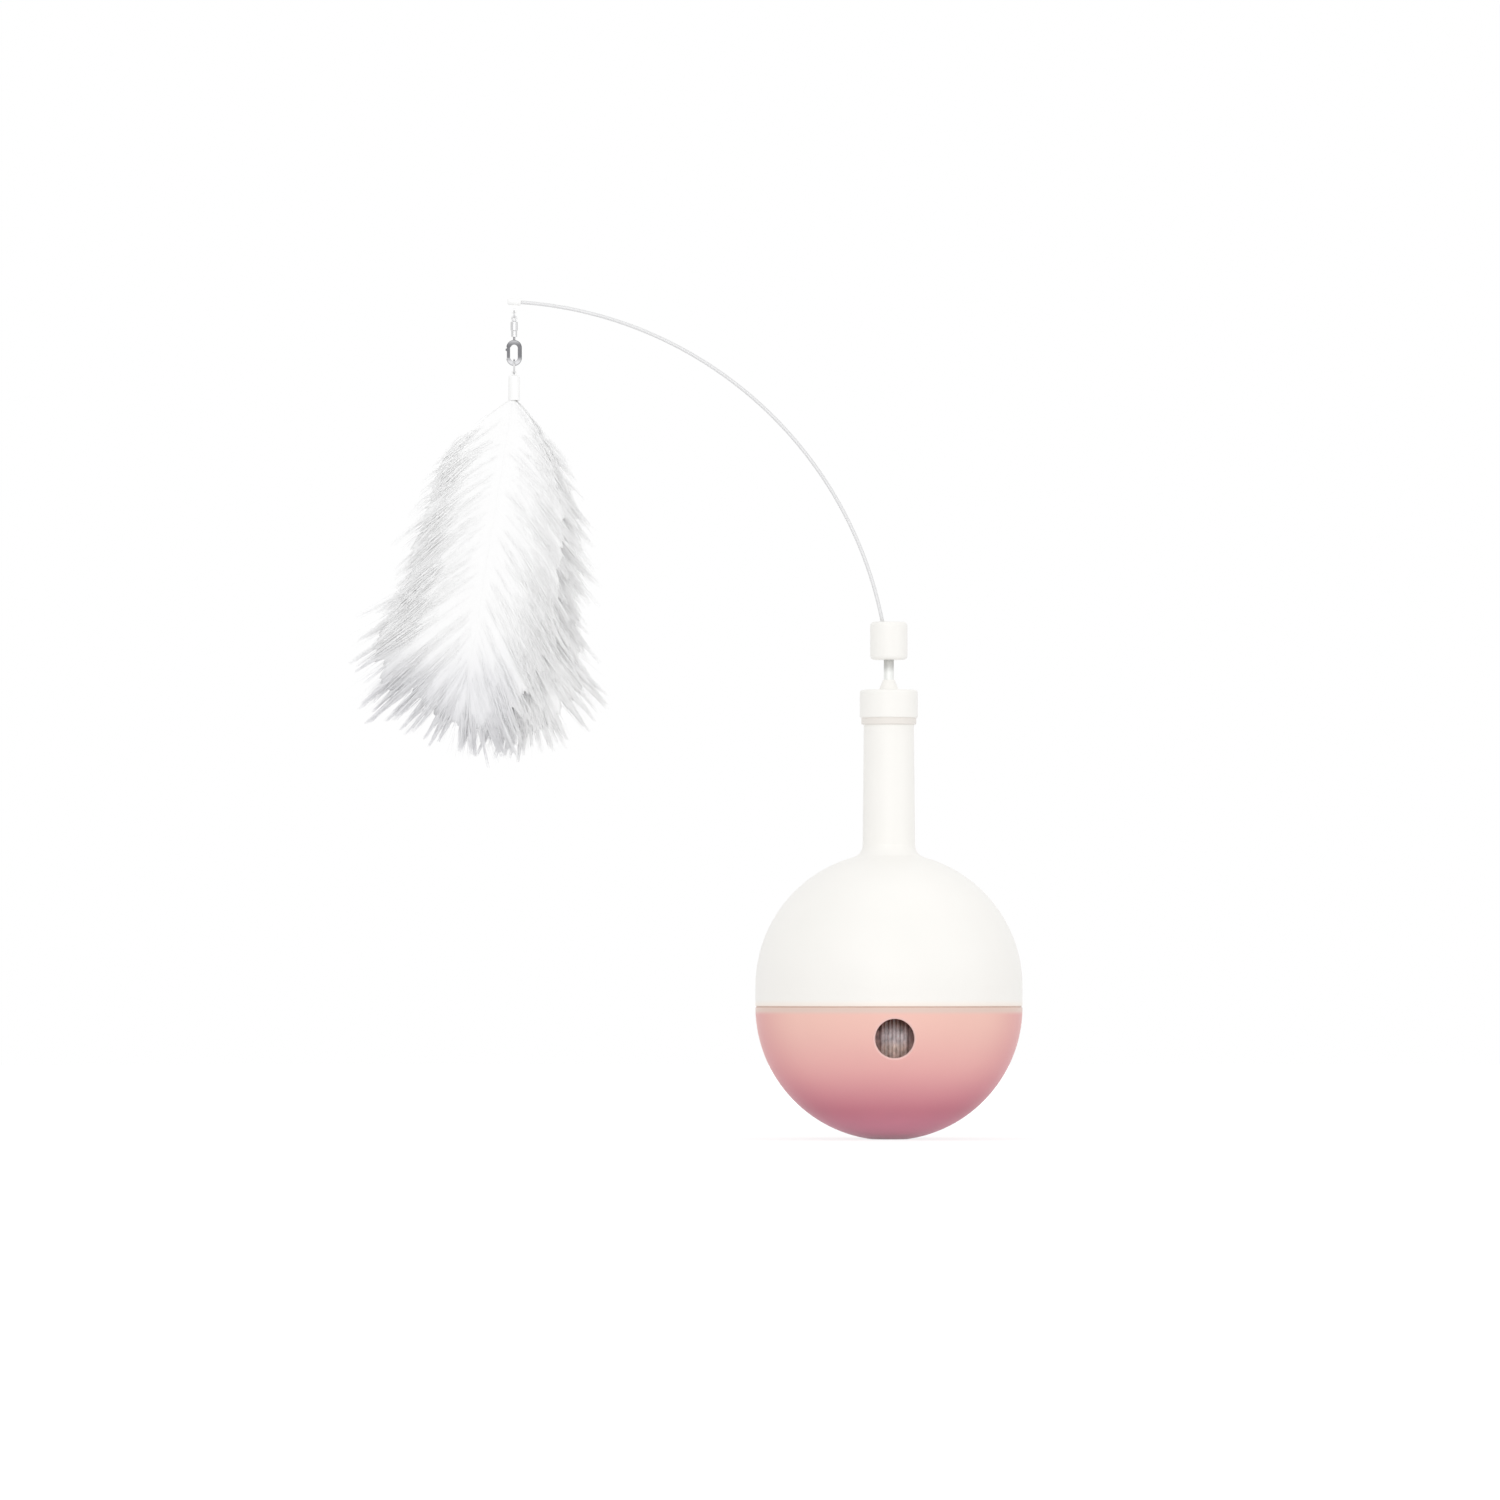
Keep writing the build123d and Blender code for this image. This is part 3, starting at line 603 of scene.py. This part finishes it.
def finish_bowl(sizes, seam_z):
    """Pink bowl in painted light and shade: lit peach under a shaded beige lip, shaded rose low
    down and at the sides, painted light round its outlet and foot.
    """
    bowl, skin = moulding("pink_plastic", sizes.pink, sizes, Specular_IOR_Level=0.2)
    tree = bowl.node_tree
    place = object_parts(tree)
    y, z = place["Y"], place["Z"]
    # Painted light and shade: painted bounce light round the foot, shaded rose low down, lit peach
    # near the seam
    colour = mixed(tree, map_range(tree, z, 0, 0.25 * seam_z), sizes.foot, sizes.rose)
    colour = mixed(tree, map_range(tree, z, 0.1 * seam_z, 0.6 * seam_z), colour, sizes.pink)
    colour = mixed(tree, map_range(tree, z, 0.4 * seam_z, 0.95 * seam_z), colour, sizes.peach)
    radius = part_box("lower_bowl")[1].x
    # Painted shade on the bowl's sides and back, beside its paler front
    flank_shade = map_range(tree, y, -0.75 * radius, -0.2 * radius)
    colour = mixed(tree, flank_shade, colour, sizes.flank_shade, "MULTIPLY")
    # Painted shade: a greyer beige lip under the seam
    lip = map_range(tree, z, seam_z - 1.5 * sizes.lip_height, seam_z - 0.6 * sizes.lip_height)
    colour = mixed(tree, lip, colour, sizes.lip)
    # Painted highlight on the outlet's edge, on the front of the bowl
    rim = sizes.outlet_radius
    edge = map_range(tree, from_outlet(tree, place, sizes, seam_z), rim + sizes.edge_width, rim)
    front = map_range(tree, y, -0.5 * seam_z, -0.6 * seam_z)
    colour = mixed(tree, maths(tree, "MULTIPLY", edge, front), colour, sizes.outlet_highlight)
    # Painted shade in the seam
    shading = map_range(tree, z, seam_z - sizes.seam_width / 2, seam_z)
    tree.links.new(mixed(tree, shading, colour, sizes.seam_shade), skin.inputs["Color"])
    finish_node(("lower_bowl",), bowl)


def finish_baffle(sizes, seam_z):
    """Smoky baffle: clouded, with painted shade behind the outlet's edge and above it, and browner
    low down with painted light that falls in through the outlet.
    """
    smoke, skin = skinned("smoky_plastic", clouded_skin(), sizes.smoke, roughness=0.14,
                          grain=SMOKY_GRAIN, shade=1.5, Transmission_Weight=0.1, IOR=1.49)
    tree = smoke.node_tree
    place = object_parts(tree)
    z = place["Z"]
    middle = seam_z - sizes.outlet_drop
    rim = sizes.outlet_radius
    # Painted shade behind the outlet's edge, stronger towards its top
    edge = map_range(tree, from_outlet(tree, place, sizes, seam_z), 0.4 * rim, rim)
    upper = map_range(tree, z, middle - 0.9 * rim, middle, start=0.4)
    edge = maths(tree, "MULTIPLY", edge, upper)
    # Painted light: tan on the lower half, where light falls in through the outlet
    low = map_range(tree, z, middle, middle - 0.6 * rim)
    colour = mixed(tree, low, sizes.smoke, sizes.smoke_low)
    colour = mixed(tree, edge, colour, sizes.smoke_edge)
    # Painted shade behind the outlet's top and above it
    shade = map_range(tree, z, middle + 0.1 * rim, middle + rim)
    tree.links.new(mixed(tree, shade, colour, sizes.shade), skin.inputs["Color"])
    finish_node(("treat_baffle",), smoke)


class TUMBLER_OT_plastics(Operator):
    """Finish the moulded plastic parts"""
    bl_idname = "tumbler.plastics"
    bl_label = "Plastics"

    def execute(self, context):
        sizes = context.scene.tumbler.plastic
        for name, colour, nodes in (
            ("white_plastic", sizes.white, ("neck_cap", "wire_holder")),
            ("snow_plastic", sizes.snow, ("end_sleeve", "feather_ferrule")),
        ):
            plastic, _ = moulding(name, colour, sizes)
            finish_node(nodes, plastic)
        seam_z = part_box("lower_bowl")[1].z
        finish_shell(sizes, seam_z)
        finish_bowl(sizes, seam_z)
        tan, _ = skinned("floor_plastic", moulded_skin(), sizes.tan, roughness=0.55,
                         grain=FLOOR_GRAIN, shade=0.1)
        finish_node(("chamber_floor",), tan)
        finish_baffle(sizes, seam_z)
        return {"FINISHED"}


class TUMBLER_OT_metals(Operator):
    """Finish the metal parts"""
    bl_idname = "tumbler.metals"
    bl_label = "Metals"

    def execute(self, context):
        sizes = context.scene.tumbler.metal
        low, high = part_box("clasp_frame")
        tall = high.z - low.z
        # Painted highlights on the clasp's lower and upper bends
        clasp = banded_metal("clasp_metal", sizes.dark_nickel, roughness=0.24, metallic=1.0, bands=(
            (sizes.lower_bend_highlight, low.z + 0.30 * tall, low.z + 0.10 * tall),
            (sizes.upper_bend_highlight, low.z + 0.62 * tall, low.z + 0.80 * tall),
        ))
        finish_node(("clasp_frame", "gate_pin", "clasp_gate"), clasp)
        holder_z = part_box("wire_holder")[0].z
        bare = holder_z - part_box("neck_cap")[1].z
        # Painted shadow of the wire holder on the pin's upper end, painted light lower down
        pin = banded_metal("pivot_steel", sizes.shaded_steel, roughness=0.45, metallic=0.6, bands=(
            (sizes.lit_steel, holder_z - 0.25 * bare, holder_z - 0.7 * bare),
        ))
        finish_node(("pivot_pin",), pin)
        for name, colour, roughness, nodes in (
            ("swivel_metal", sizes.nickel, 0.22,
             ("link_ring", "swivel_eye", "swivel_barrel", "feather_ring")),
            ("pin_steel", sizes.steel, 0.26, ("thrust_washer", "retaining_clip")),
            ("screw_steel", sizes.steel, 0.34, ("floor_screws",)),
            ("bush_brass", sizes.brass, 0.3, ("pivot_bush",)),
        ):
            metal, _ = turned_metal(name, colour, roughness, metallic=1.0)
            finish_node(nodes, metal)
        iron, _ = skinned("grey_iron", cast_skin(), sizes.iron, roughness=0.62,
                          grain=CAST_GRAIN, shade=0.5, Metallic=0.6)
        finish_node(("weight_slug",), iron)
        return {"FINISHED"}


class TUMBLER_OT_seal(Operator):
    """Finish the silicone seal ring"""
    bl_idname = "tumbler.seal"
    bl_label = "Seal ring"

    def execute(self, context):
        silicone = context.scene.tumbler.plastic.silicone
        rubber, _ = skinned("seal_rubber", moulded_skin(), silicone, roughness=0.58,
                            grain=RUBBER_GRAIN, shade=0.06)
        finish_node(("seal_ring",), rubber)
        return {"FINISHED"}


def wire_mesh(sizes, leave):
    """Wire that runs straight out of its holder, round an arc and straight into its sleeve."""
    along = Vector((-math.sin(sizes.lean), 0, math.cos(sizes.lean)))
    inward = Vector((-math.cos(sizes.lean), 0, -math.sin(sizes.lean)))
    bottom = leave - along * sizes.seat
    arc_start = leave + along * sizes.foot
    bm = bmesh.new()
    placed = Matrix.Translation(bottom) @ Matrix.Rotation(-sizes.lean, 4, "Y")
    bmesh.ops.create_circle(bm, segments=WIRE_SIDES, radius=sizes.radius, matrix=placed)
    foot = bmesh.ops.extrude_edge_only(bm, edges=bm.edges[:])["geom"]
    verts = of_kind(foot, bmesh.types.BMVert)
    bmesh.ops.translate(bm, verts=verts, vec=arc_start - bottom)
    arc = bmesh.ops.spin(bm, geom=verts + of_kind(foot, bmesh.types.BMEdge),
                         cent=arc_start + inward * sizes.arc_radius, axis=(0, -1, 0),
                         angle=sizes.arc_turn, steps=ARC_STEPS)
    rim = of_kind(arc["geom_last"], bmesh.types.BMEdge)
    tail = bmesh.ops.extrude_edge_only(bm, edges=rim)["geom"]
    turned = Matrix.Rotation(-sizes.arc_turn, 4, "Y") @ along
    bmesh.ops.translate(bm, verts=of_kind(tail, bmesh.types.BMVert), vec=turned * sizes.tail)
    bmesh.ops.holes_fill(bm, edges=[edge for edge in bm.edges if edge.is_boundary], sides=0)
    return finished_mesh(bm, "spring_wire")


class TUMBLER_OT_wand_wire(Operator):
    """Bend the spring wire from its holder to the end sleeve"""
    bl_idname = "tumbler.wand_wire"
    bl_label = "Wand wire"

    def execute(self, context):
        sizes = context.scene.tumbler.wire
        leave = Vector((-sizes.exit_off, 0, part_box("wire_holder")[1].z))
        colour = context.scene.tumbler.metal.wire
        steel, _ = skinned("wire_steel", drawn_skin(), colour, roughness=0.55, grain=DRAWN_GRAIN,
                           shade=0.02, spread=0.06, Metallic=0.5)
        wire = add_object("spring_wire", wire_mesh(sizes, leave), steel, None)
        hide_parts("wand_wire")
        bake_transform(wire)
        return {"FINISHED"}


class TUMBLER_OT_quills(Operator):
    """Finish the shafts of the plumes"""
    bl_idname = "tumbler.quills"
    bl_label = "Quills"

    def execute(self, context):
        keratin = context.scene.tumbler.plume.keratin
        quill, _ = skinned("quill_keratin", drawn_skin(), keratin, roughness=0.38,
                           grain=QUILL_GRAIN, shade=0.08)
        finish_node(("front_quill", "back_quill"), quill)
        return {"FINISHED"}


def down_material(sizes, root):
    """Down: white by the shaft, painted shade as grey at the tips on the left, more so low down,
    finely streaked.
    """
    material, shader = new_material("plume_down")
    tree = material.node_tree
    along = tree.nodes.new("ShaderNodeUVMap").outputs["UV"]
    along_parts = tree.nodes.new("ShaderNodeSeparateXYZ")
    tree.links.new(along, along_parts.inputs[0])
    tone = tree.nodes.new("ShaderNodeAttribute")
    tone.attribute_name = "tone"
    place = object_parts(tree)
    # Painted shade: grey tips, covering whole barbs low down and fading out to the right of the
    # root
    low = map_range(tree, place["Z"], root.z - GREY_START, root.z - GREY_FULL)
    left = map_range(tree, place["X"], root.x + GREY_FADE, root.x - GREY_FADE)
    tips = mixed(tree, low, sizes.edge_grey, sizes.tip_grey)
    grey = map_range(tree, along_parts.outputs["X"], *GREY_TIPS)
    grey = maths(tree, "MULTIPLY", grey, tone.outputs["Fac"])
    grey = maths(tree, "MAXIMUM", grey, maths(tree, "MULTIPLY", low, LOW_GREY))
    grey = maths(tree, "MULTIPLY", grey, left)
    streak = tree.nodes.new("ShaderNodeMapping")
    streak.inputs["Scale"].default_value = STREAKS
    tree.links.new(along, streak.inputs["Vector"])
    streaks = noise(tree, streak.outputs["Vector"], scale=1, detail=2)
    colour = mixed(tree, grey, sizes.down_white, tips)
    streaked = scaled_colour(tree, colour, around_one(tree, streaks, STREAK_SHADE))
    tree.links.new(streaked, shader.inputs["Base Color"])
    add_bump(tree, shader, streaks, STREAK_DEPTH, strength=0.3)
    set_sockets(shader, {"Roughness": 0.9, "Sheen Weight": 0.5, "Specular IOR Level": 0.15})
    return material


def smooth_share(value):
    """Smooth step of a share."""
    value = np.clip(value, 0, 1)
    return value * value * (3 - 2 * value)


class Shaft:
    """One side of a plume: its shaft's line, the reach of its barbs and the way that it curls."""

    def __init__(self, sizes, root, lean, side, reach, looseness):
        self.sizes = sizes
        self.looseness = looseness
        self.root = np.array((root.x, root.z))
        self.down = np.array((-math.sin(lean), -math.cos(lean)))
        self.side = side
        self.reach = np.array(reach) * MM
        self.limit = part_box("front_plume")[0].x - LEFT_ROOM
        self.first = self.reach[0, 0] - TOP_ROOM
        self.last = self.reach[-1, 0]

    def low_share(self, where):
        """0 for a place at the top of the vane and 1 at its lower end."""
        return (where - self.first) / (self.last - self.first)

    def arcs(self, where, reach, turn, t):
        """Points, across and up, at the shares t of barbs that start at places down the shaft."""
        start = self.root + self.down * where[:, None]
        across, drop = (np.interp(where, self.reach[:, 0], self.reach[:, i]) for i in (1, 2))
        run = self.root + np.stack([across, -drop], 1) - start
        cos, sin = np.cos(turn), np.sin(turn)
        run = np.stack([run[:, 0] * cos - run[:, 1] * sin,
                        run[:, 0] * sin + run[:, 1] * cos], 1) * reach[:, None]
        out = KNEE_OUT - KNEE_LOSS * self.low_share(where)[:, None]
        knee = start + run * np.concatenate([out, KNEE_SUM - out], 1)
        s = t[:, :, None]
        bow = 2 * s * (1 - s) * knee[:, None]
        return (1 - s) ** 2 * start[:, None] + bow + s ** 2 * (start + run)[:, None]

    def depth_of(self, flat):
        """How far the curled vane lies from the feather's middle plane at flat points."""
        drop = self.root[1] - flat[..., 1]
        off = flat[..., 0] - self.root[0] - self.down[0] * drop
        curl = self.sizes.curl - np.sqrt(np.maximum(self.sizes.curl ** 2 - off ** 2, 0))
        swell = self.sizes.shaft_cover * np.exp(-(off / self.sizes.swell_width) ** 2)
        return self.side * (self.sizes.shaft_off + swell + curl)


def tuft_numbers(rng, low, scale):
    """Number of each barb's tuft: small tufts at the top of the vane, large ones low down."""
    numbers = np.empty(len(low), dtype=int)
    at = number = 0
    while at < len(low):
        members = np.interp(low[at], *TUFT_BARBS) * rng.uniform(*TUFT_SPREAD) * scale
        stop = at + max(int(members), SMALLEST_TUFT)
        numbers[at:stop] = number
        at, number = stop, number + 1
    return numbers


def barb_paths(rng, shaft, count, steps, stray):
    """Points of loose barbs in tufts, the shares of their arcs that they lie at, and the tones."""
    where = shaft.first + (shaft.last - shaft.first) * np.sort(rng.random(count)) ** CROWDING
    low = shaft.low_share(where)
    tuft = tuft_numbers(rng, low, count / TUFT_COUNT)
    tufts = tuft.max() + 1
    core = np.bincount(tuft, where) / np.bincount(tuft)
    reach = rng.normal(*TUFT_REACH, tufts)
    turn = rng.normal(0, TUFT_TURN, tufts)
    tuft_lift = rng.normal(0, TUFT_LIFT, tufts)
    end = 1 - FALL_SHORT * rng.random(count) ** SHORT_POWER
    early = rng.random(count) < EARLY_BARBS
    begin = np.where(early, rng.uniform(*EARLY_START, count), rng.uniform(*LATE_START, count))
    begin = np.minimum(begin, end - SHORTEST)
    t = begin[:, None] + (end - begin)[:, None] * np.linspace(0, 1, steps)
    flat = shaft.arcs(where, reach[tuft], turn[tuft] + rng.normal(0, BARB_TURN, count) * stray, t)
    middle = shaft.arcs(core[tuft], reach[tuft], turn[tuft], t)
    pull_start = np.interp(low, *PULL_START)[:, None]
    pull = np.interp(low, *PULL)[:, None] * smooth_share((t - pull_start) / (1 - pull_start))
    flat += (middle - flat) * (pull / stray)[:, :, None]
    wave = 2 * math.pi * (rng.uniform(*WAVES, (count, 1)) * t + rng.random((count, 1)))
    sway = SWAY_WIDTH * stray * np.interp(low, *SWAY)[:, None]
    flat[:, :, 0] += sway * t * np.sin(wave)
    limit = shaft.limit + LIMIT_SCATTER * rng.random((count, 1))
    flat[:, :, 0] = np.maximum(flat[:, :, 0], limit)
    off_vane = np.where(rng.random(count) < 0.5, -1, 1) * rng.uniform(*CLEARANCE, count) * MM
    loose = shaft.sizes.depth * shaft.looseness * stray * np.interp(low, *STRAY)[:, None]
    lift = (rng.normal(0, BARB_LIFT, count) + tuft_lift[tuft])[:, None] * loose
    rise = smooth_share(t * STRAY_RISE - STRAY_DELAY)
    depth = shaft.depth_of(flat) + off_vane[:, None] + lift * rise
    tone = rng.uniform(*TUFT_TONES, tufts)[tuft] + rng.normal(0, BARB_TONE, count)
    return np.stack([flat[:, :, 0], depth, flat[:, :, 1]], 2), t, np.clip(tone, 0, 1)


def strand_tubes(name, paths, radii):
    """Mesh of thin tubes along the paths, one after the other."""
    count, steps = paths.shape[:2]
    curve = bpy.data.curves.new(name, "CURVE")
    curve.dimensions = "3D"
    curve.bevel_depth = 1.0
    curve.bevel_resolution = 0
    ones = np.ones((steps, 1))
    for path, radius in zip(paths, radii):
        spline = curve.splines.new("POLY")
        spline.points.add(steps - 1)
        spline.points.foreach_set("co", np.hstack([path, ones]).ravel())
        spline.points.foreach_set("radius", radius)
    holder = bpy.data.objects.new(name, curve)
    mesh = bpy.data.meshes.new_from_object(holder)
    bpy.data.objects.remove(holder)
    bpy.data.curves.remove(curve)
    if len(mesh.vertices) != count * steps * STRAND_SIDES:
        raise RuntimeError(name + " has an unexpected number of points")
    mesh.name = name
    return mesh


def strands(name, paths, t, tones, root_radius, rng):
    """Mesh of tapered, flattened strands along the paths, each with its tone."""
    count, steps = paths.shape[:2]
    swell = np.minimum(ROOT_WIDTH + WIDENING * np.linspace(0, 1, steps), 1)
    radii = root_radius * rng.uniform(*STRAND_WIDTHS, (count, 1)) * swell * (1 - TAPER * t ** 2)
    mesh = strand_tubes(name, paths, radii)
    points = np.empty(len(mesh.vertices) * 3)
    mesh.vertices.foreach_get("co", points)
    rings = points.reshape(count, steps, STRAND_SIDES, 3)
    middle = rings[..., 1].mean(2, keepdims=True)
    rings[..., 1] = middle + FLATNESS * (rings[..., 1] - middle)
    mesh.vertices.foreach_set("co", rings.ravel())
    corners = np.empty(len(mesh.loops), dtype=np.int32)
    mesh.loops.foreach_get("vertex_index", corners)
    uv = mesh.uv_layers[0] if mesh.uv_layers else mesh.uv_layers.new(name="UVMap")
    share = np.repeat(t.ravel(), STRAND_SIDES)[corners]
    strand = (corners // (steps * STRAND_SIDES)) / count
    uv.data.foreach_set("uv", np.stack([share, strand], 1).ravel())
    tone = mesh.attributes.new("tone", "FLOAT", "POINT")
    tone.data.foreach_set("value", np.repeat(tones, steps * STRAND_SIDES))
    mesh.shade_smooth()
    # Shaded partly as the vane that they lie in, so that they catch the light as one soft sheet.
    # Each face has four corners
    facing = np.empty(len(mesh.polygons) * 3)
    mesh.polygons.foreach_get("normal", facing)
    facing = facing.reshape(-1, 3) * OWN_FACING
    facing[:, 1] += np.where(facing[:, 1] < 0, -1, 1)
    facing /= np.linalg.norm(facing, axis=1, keepdims=True)
    mesh.normals_split_custom_set(np.repeat(facing, 4, axis=0))
    return mesh


def vane_mesh(name, rng, shaft):
    """Smooth inner vane on one side of a shaft, with a ragged outer edge."""
    sizes = shaft.sizes
    bm = bmesh.new()
    bmesh.ops.create_grid(bm, x_segments=VANE_ROWS, y_segments=VANE_COLUMNS, size=0.5)
    grid = np.array([vert.co[:] for vert in bm.verts])
    row = np.rint((grid[:, 0] + 0.5) * VANE_ROWS).astype(int)
    column = np.rint((grid[:, 1] + 0.5) * VANE_COLUMNS)
    narrowing = LOWER_LOSS * smooth_share(np.linspace(-1, 1, VANE_ROWS + 1))
    edge = sizes.vane_share - narrowing + rng.normal(0, EDGE_SPREAD, VANE_ROWS + 1)
    # The first column lies past the shaft, where each vane dips under the other, and the
    # second on the shaft
    t = np.where(column < 1, -sizes.overlap, (column - 1) / (VANE_COLUMNS - 1) * edge[row])
    where = shaft.first + (grid[:, 0] + 0.5) * (shaft.last - shaft.first)
    flat = shaft.arcs(where, np.ones(len(where)), np.zeros(len(where)), t[:, None])[:, 0]
    depth = shaft.depth_of(flat) - np.where(column < 1, shaft.side * VANE_DIP, 0)
    uv = bm.loops.layers.uv.new("UVMap")
    tone = bm.verts.layers.float.new("tone")
    for vert, (across, up), deep in zip(bm.verts, flat, depth):
        vert.co = (across, deep, up)
        vert[tone] = VANE_TONE
    for face in bm.faces:
        for loop in face.loops:
            loop[uv].uv = (t[loop.vert.index], row[loop.vert.index] / VANE_ROWS)
    return finished_mesh(bm, name)


class TUMBLER_OT_plumes(Operator):
    """Grow the vanes and barbs of the two plumes"""
    bl_idname = "tumbler.plumes"
    bl_label = "Plumes"

    def execute(self, context):
        sizes = context.scene.tumbler.plume
        low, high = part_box("feather_ferrule")
        root = Vector(((low.x + high.x) / 2, 0, low.z + sizes.root_depth))
        down = down_material(sizes, root)
        right = sizes.right_looseness
        for number, (name, lean, side, reach, looseness, node) in enumerate((
            ("front_left", sizes.front_lean, -1, FRONT_LEFT_REACH, 1, "front_plume"),
            ("front_right", sizes.front_lean, -1, FRONT_RIGHT_REACH, right, "front_plume"),
            ("back_left", sizes.back_lean, 1, BACK_LEFT_REACH, 1, "back_plume"),
            ("back_right", sizes.back_lean, 1, BACK_RIGHT_REACH, right, "back_plume"),
        ), 1):
            rng = np.random.default_rng(sizes.seed * 10 + number)
            shaft = Shaft(sizes, root, lean, side, reach, looseness)
            mesh = vane_mesh(name + "_vane", rng, shaft)
            vane = add_object(name + "_vane", mesh, down, "feather")
            wall = vane.modifiers.new("wall", "SOLIDIFY")
            wall.thickness = sizes.vane_thickness
            wall.offset = 0
            wall.use_even_offset = False
            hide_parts(node)
            for kind, count, steps, stray, radius in (
                ("_barbs", sizes.barbs, 9, 1.0, sizes.barb_radius),
                ("_wisps", sizes.wisps, 8, 1.7, sizes.barb_radius * 0.45),
            ):
                paths, t, tones = barb_paths(rng, shaft, count, steps, stray)
                mesh = strands(name + kind, paths, t, tones, radius, rng)
                add_object(name + kind, mesh, down, "feather")
        return {"FINISHED"}


def light_path_share(tree):
    """1 on the rays that see the white surround and the floor's glow, and else 0."""
    path = tree.nodes.new("ShaderNodeLightPath")
    share = path.outputs["Is Camera Ray"]
    for kind in ("Is Glossy Ray", "Is Transmission Ray"):
        share = maths(tree, "MAXIMUM", share, path.outputs[kind])
    return share


def aimed(thing, place, direction):
    """Object of a camera or lamp at a place, pointed in a direction."""
    holder = bpy.data.objects.new(thing.name, thing)
    holder.location = place
    holder.rotation_euler = direction.to_track_quat("-Z", "Y").to_euler()
    bpy.context.scene.collection.objects.link(holder)
    return holder


def studio_camera(sizes):
    """Camera at the photograph's angle, with a long lens."""
    camera = bpy.data.cameras.new("camera")
    camera.sensor_width = 36
    camera.lens = camera.sensor_width * sizes.distance / sizes.width
    camera.clip_start = 0.05
    camera.clip_end = 50
    back = Vector((0, -math.cos(sizes.elevation), math.sin(sizes.elevation)))
    return aimed(camera, Vector(sizes.centre) + back * sizes.distance, -back)


def studio_lamps(sizes):
    """Large square lamps, all aimed at the toy's middle."""
    for name, place, size, power in (
        ("front_lamp", (0.0, -2.4, 0.4), 1.8, sizes.front),
        ("left_lamp", (-0.55, -1.35, 1.05), 1.2, sizes.left),
        ("right_lamp", (1.3, -0.9, 0.6), 1.0, sizes.right),
        ("top_lamp", (0.1, 0.1, 1.7), 1.2, sizes.top),
    ):
        lamp = bpy.data.lights.new(name, "AREA")
        lamp.size = size
        lamp.energy = power
        aimed(lamp, place, Vector(LAMP_AIM) - Vector(place))


def white_surround(sizes):
    """World that lights the toy softly and looks white."""
    world = bpy.data.worlds.new("white_surround")
    world.use_nodes = True
    tree = world.node_tree
    more = maths(tree, "MULTIPLY", light_path_share(tree), 1 - sizes.ambient)
    surround = tree.nodes["Background"]
    surround.inputs["Color"].default_value = (1, 1, 1, 1)
    tree.links.new(maths(tree, "ADD", more, sizes.ambient), surround.inputs["Strength"])
    return world


def floor_material():
    """Pale floor that keeps the toy's shadow and glows more and more white away from it."""
    material, shader = new_material("floor")
    set_sockets(shader, {"Base Color": FLOOR_GREY, "Roughness": 0.8, "Specular IOR Level": 0.1})
    tree = material.node_tree
    glow = tree.nodes.new("ShaderNodeEmission")
    place = tree.nodes.new("ShaderNodeTexCoord")
    away = tree.nodes.new("ShaderNodeVectorMath")
    away.operation = "LENGTH"
    tree.links.new(place.outputs["Object"], away.inputs[0])
    tree.links.new(map_range(tree, away.outputs["Value"], *FLOOR_GLOW), glow.inputs["Strength"])
    mix = tree.nodes.new("ShaderNodeMixShader")
    tree.links.new(maths(tree, "MULTIPLY", light_path_share(tree), FLOOR_GLOW_SHARE), mix.inputs[0])
    tree.links.new(shader.outputs["BSDF"], mix.inputs[1])
    tree.links.new(glow.outputs["Emission"], mix.inputs[2])
    tree.links.new(mix.outputs["Shader"], tree.nodes["Material Output"].inputs["Surface"])
    return material


class TUMBLER_OT_studio(Operator):
    """Set up the camera, lamps, white surround and floor"""
    bl_idname = "tumbler.studio"
    bl_label = "Studio"

    def execute(self, context):
        scene = context.scene
        sizes = scene.tumbler.studio
        scene.camera = studio_camera(sizes)
        studio_lamps(sizes)
        scene.world = white_surround(sizes)
        bm = bmesh.new()
        bmesh.ops.create_circle(bm, cap_ends=True, segments=96, radius=FLOOR_RADIUS)
        mesh = bpy.data.meshes.new("studio_floor")
        bm.to_mesh(mesh)
        bm.free()
        mesh.materials.append(floor_material())
        floor = bpy.data.objects.new("studio_floor", mesh)
        scene.collection.objects.link(floor)
        scene.view_settings.view_transform = "Standard"
        return {"FINISHED"}


class TUMBLER_PT_panel(Panel):
    """Steps that dress the toy"""
    bl_label = "Treat tumbler"
    bl_idname = "TUMBLER_PT_panel"
    bl_space_type = "VIEW_3D"
    bl_region_type = "UI"
    bl_category = "Treat tumbler"

    def draw(self, context):
        for operator in OPERATORS:
            self.layout.operator(operator.bl_idname)


OPERATORS = (
    TUMBLER_OT_studio, TUMBLER_OT_plastics, TUMBLER_OT_metals, TUMBLER_OT_seal,
    TUMBLER_OT_wand_wire, TUMBLER_OT_quills, TUMBLER_OT_plumes,
)
CLASSES = (
    PlasticSettings, MetalSettings, WireSettings, PlumeSettings, StudioSettings, TumblerSettings,
    *OPERATORS, TUMBLER_PT_panel,
)


def register():
    for cls in CLASSES:
        bpy.utils.register_class(cls)
    bpy.types.Scene.tumbler = PointerProperty(type=TumblerSettings)


def unregister():
    del bpy.types.Scene.tumbler
    for cls in reversed(CLASSES):
        bpy.utils.unregister_class(cls)


def main():
    """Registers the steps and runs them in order."""
    register()
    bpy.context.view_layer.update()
    bpy.ops.tumbler.studio()
    bpy.ops.tumbler.plastics()
    bpy.ops.tumbler.metals()
    bpy.ops.tumbler.seal()
    bpy.ops.tumbler.wand_wire()
    bpy.ops.tumbler.quills()
    bpy.ops.tumbler.plumes()


if __name__ == "__main__":
    main()
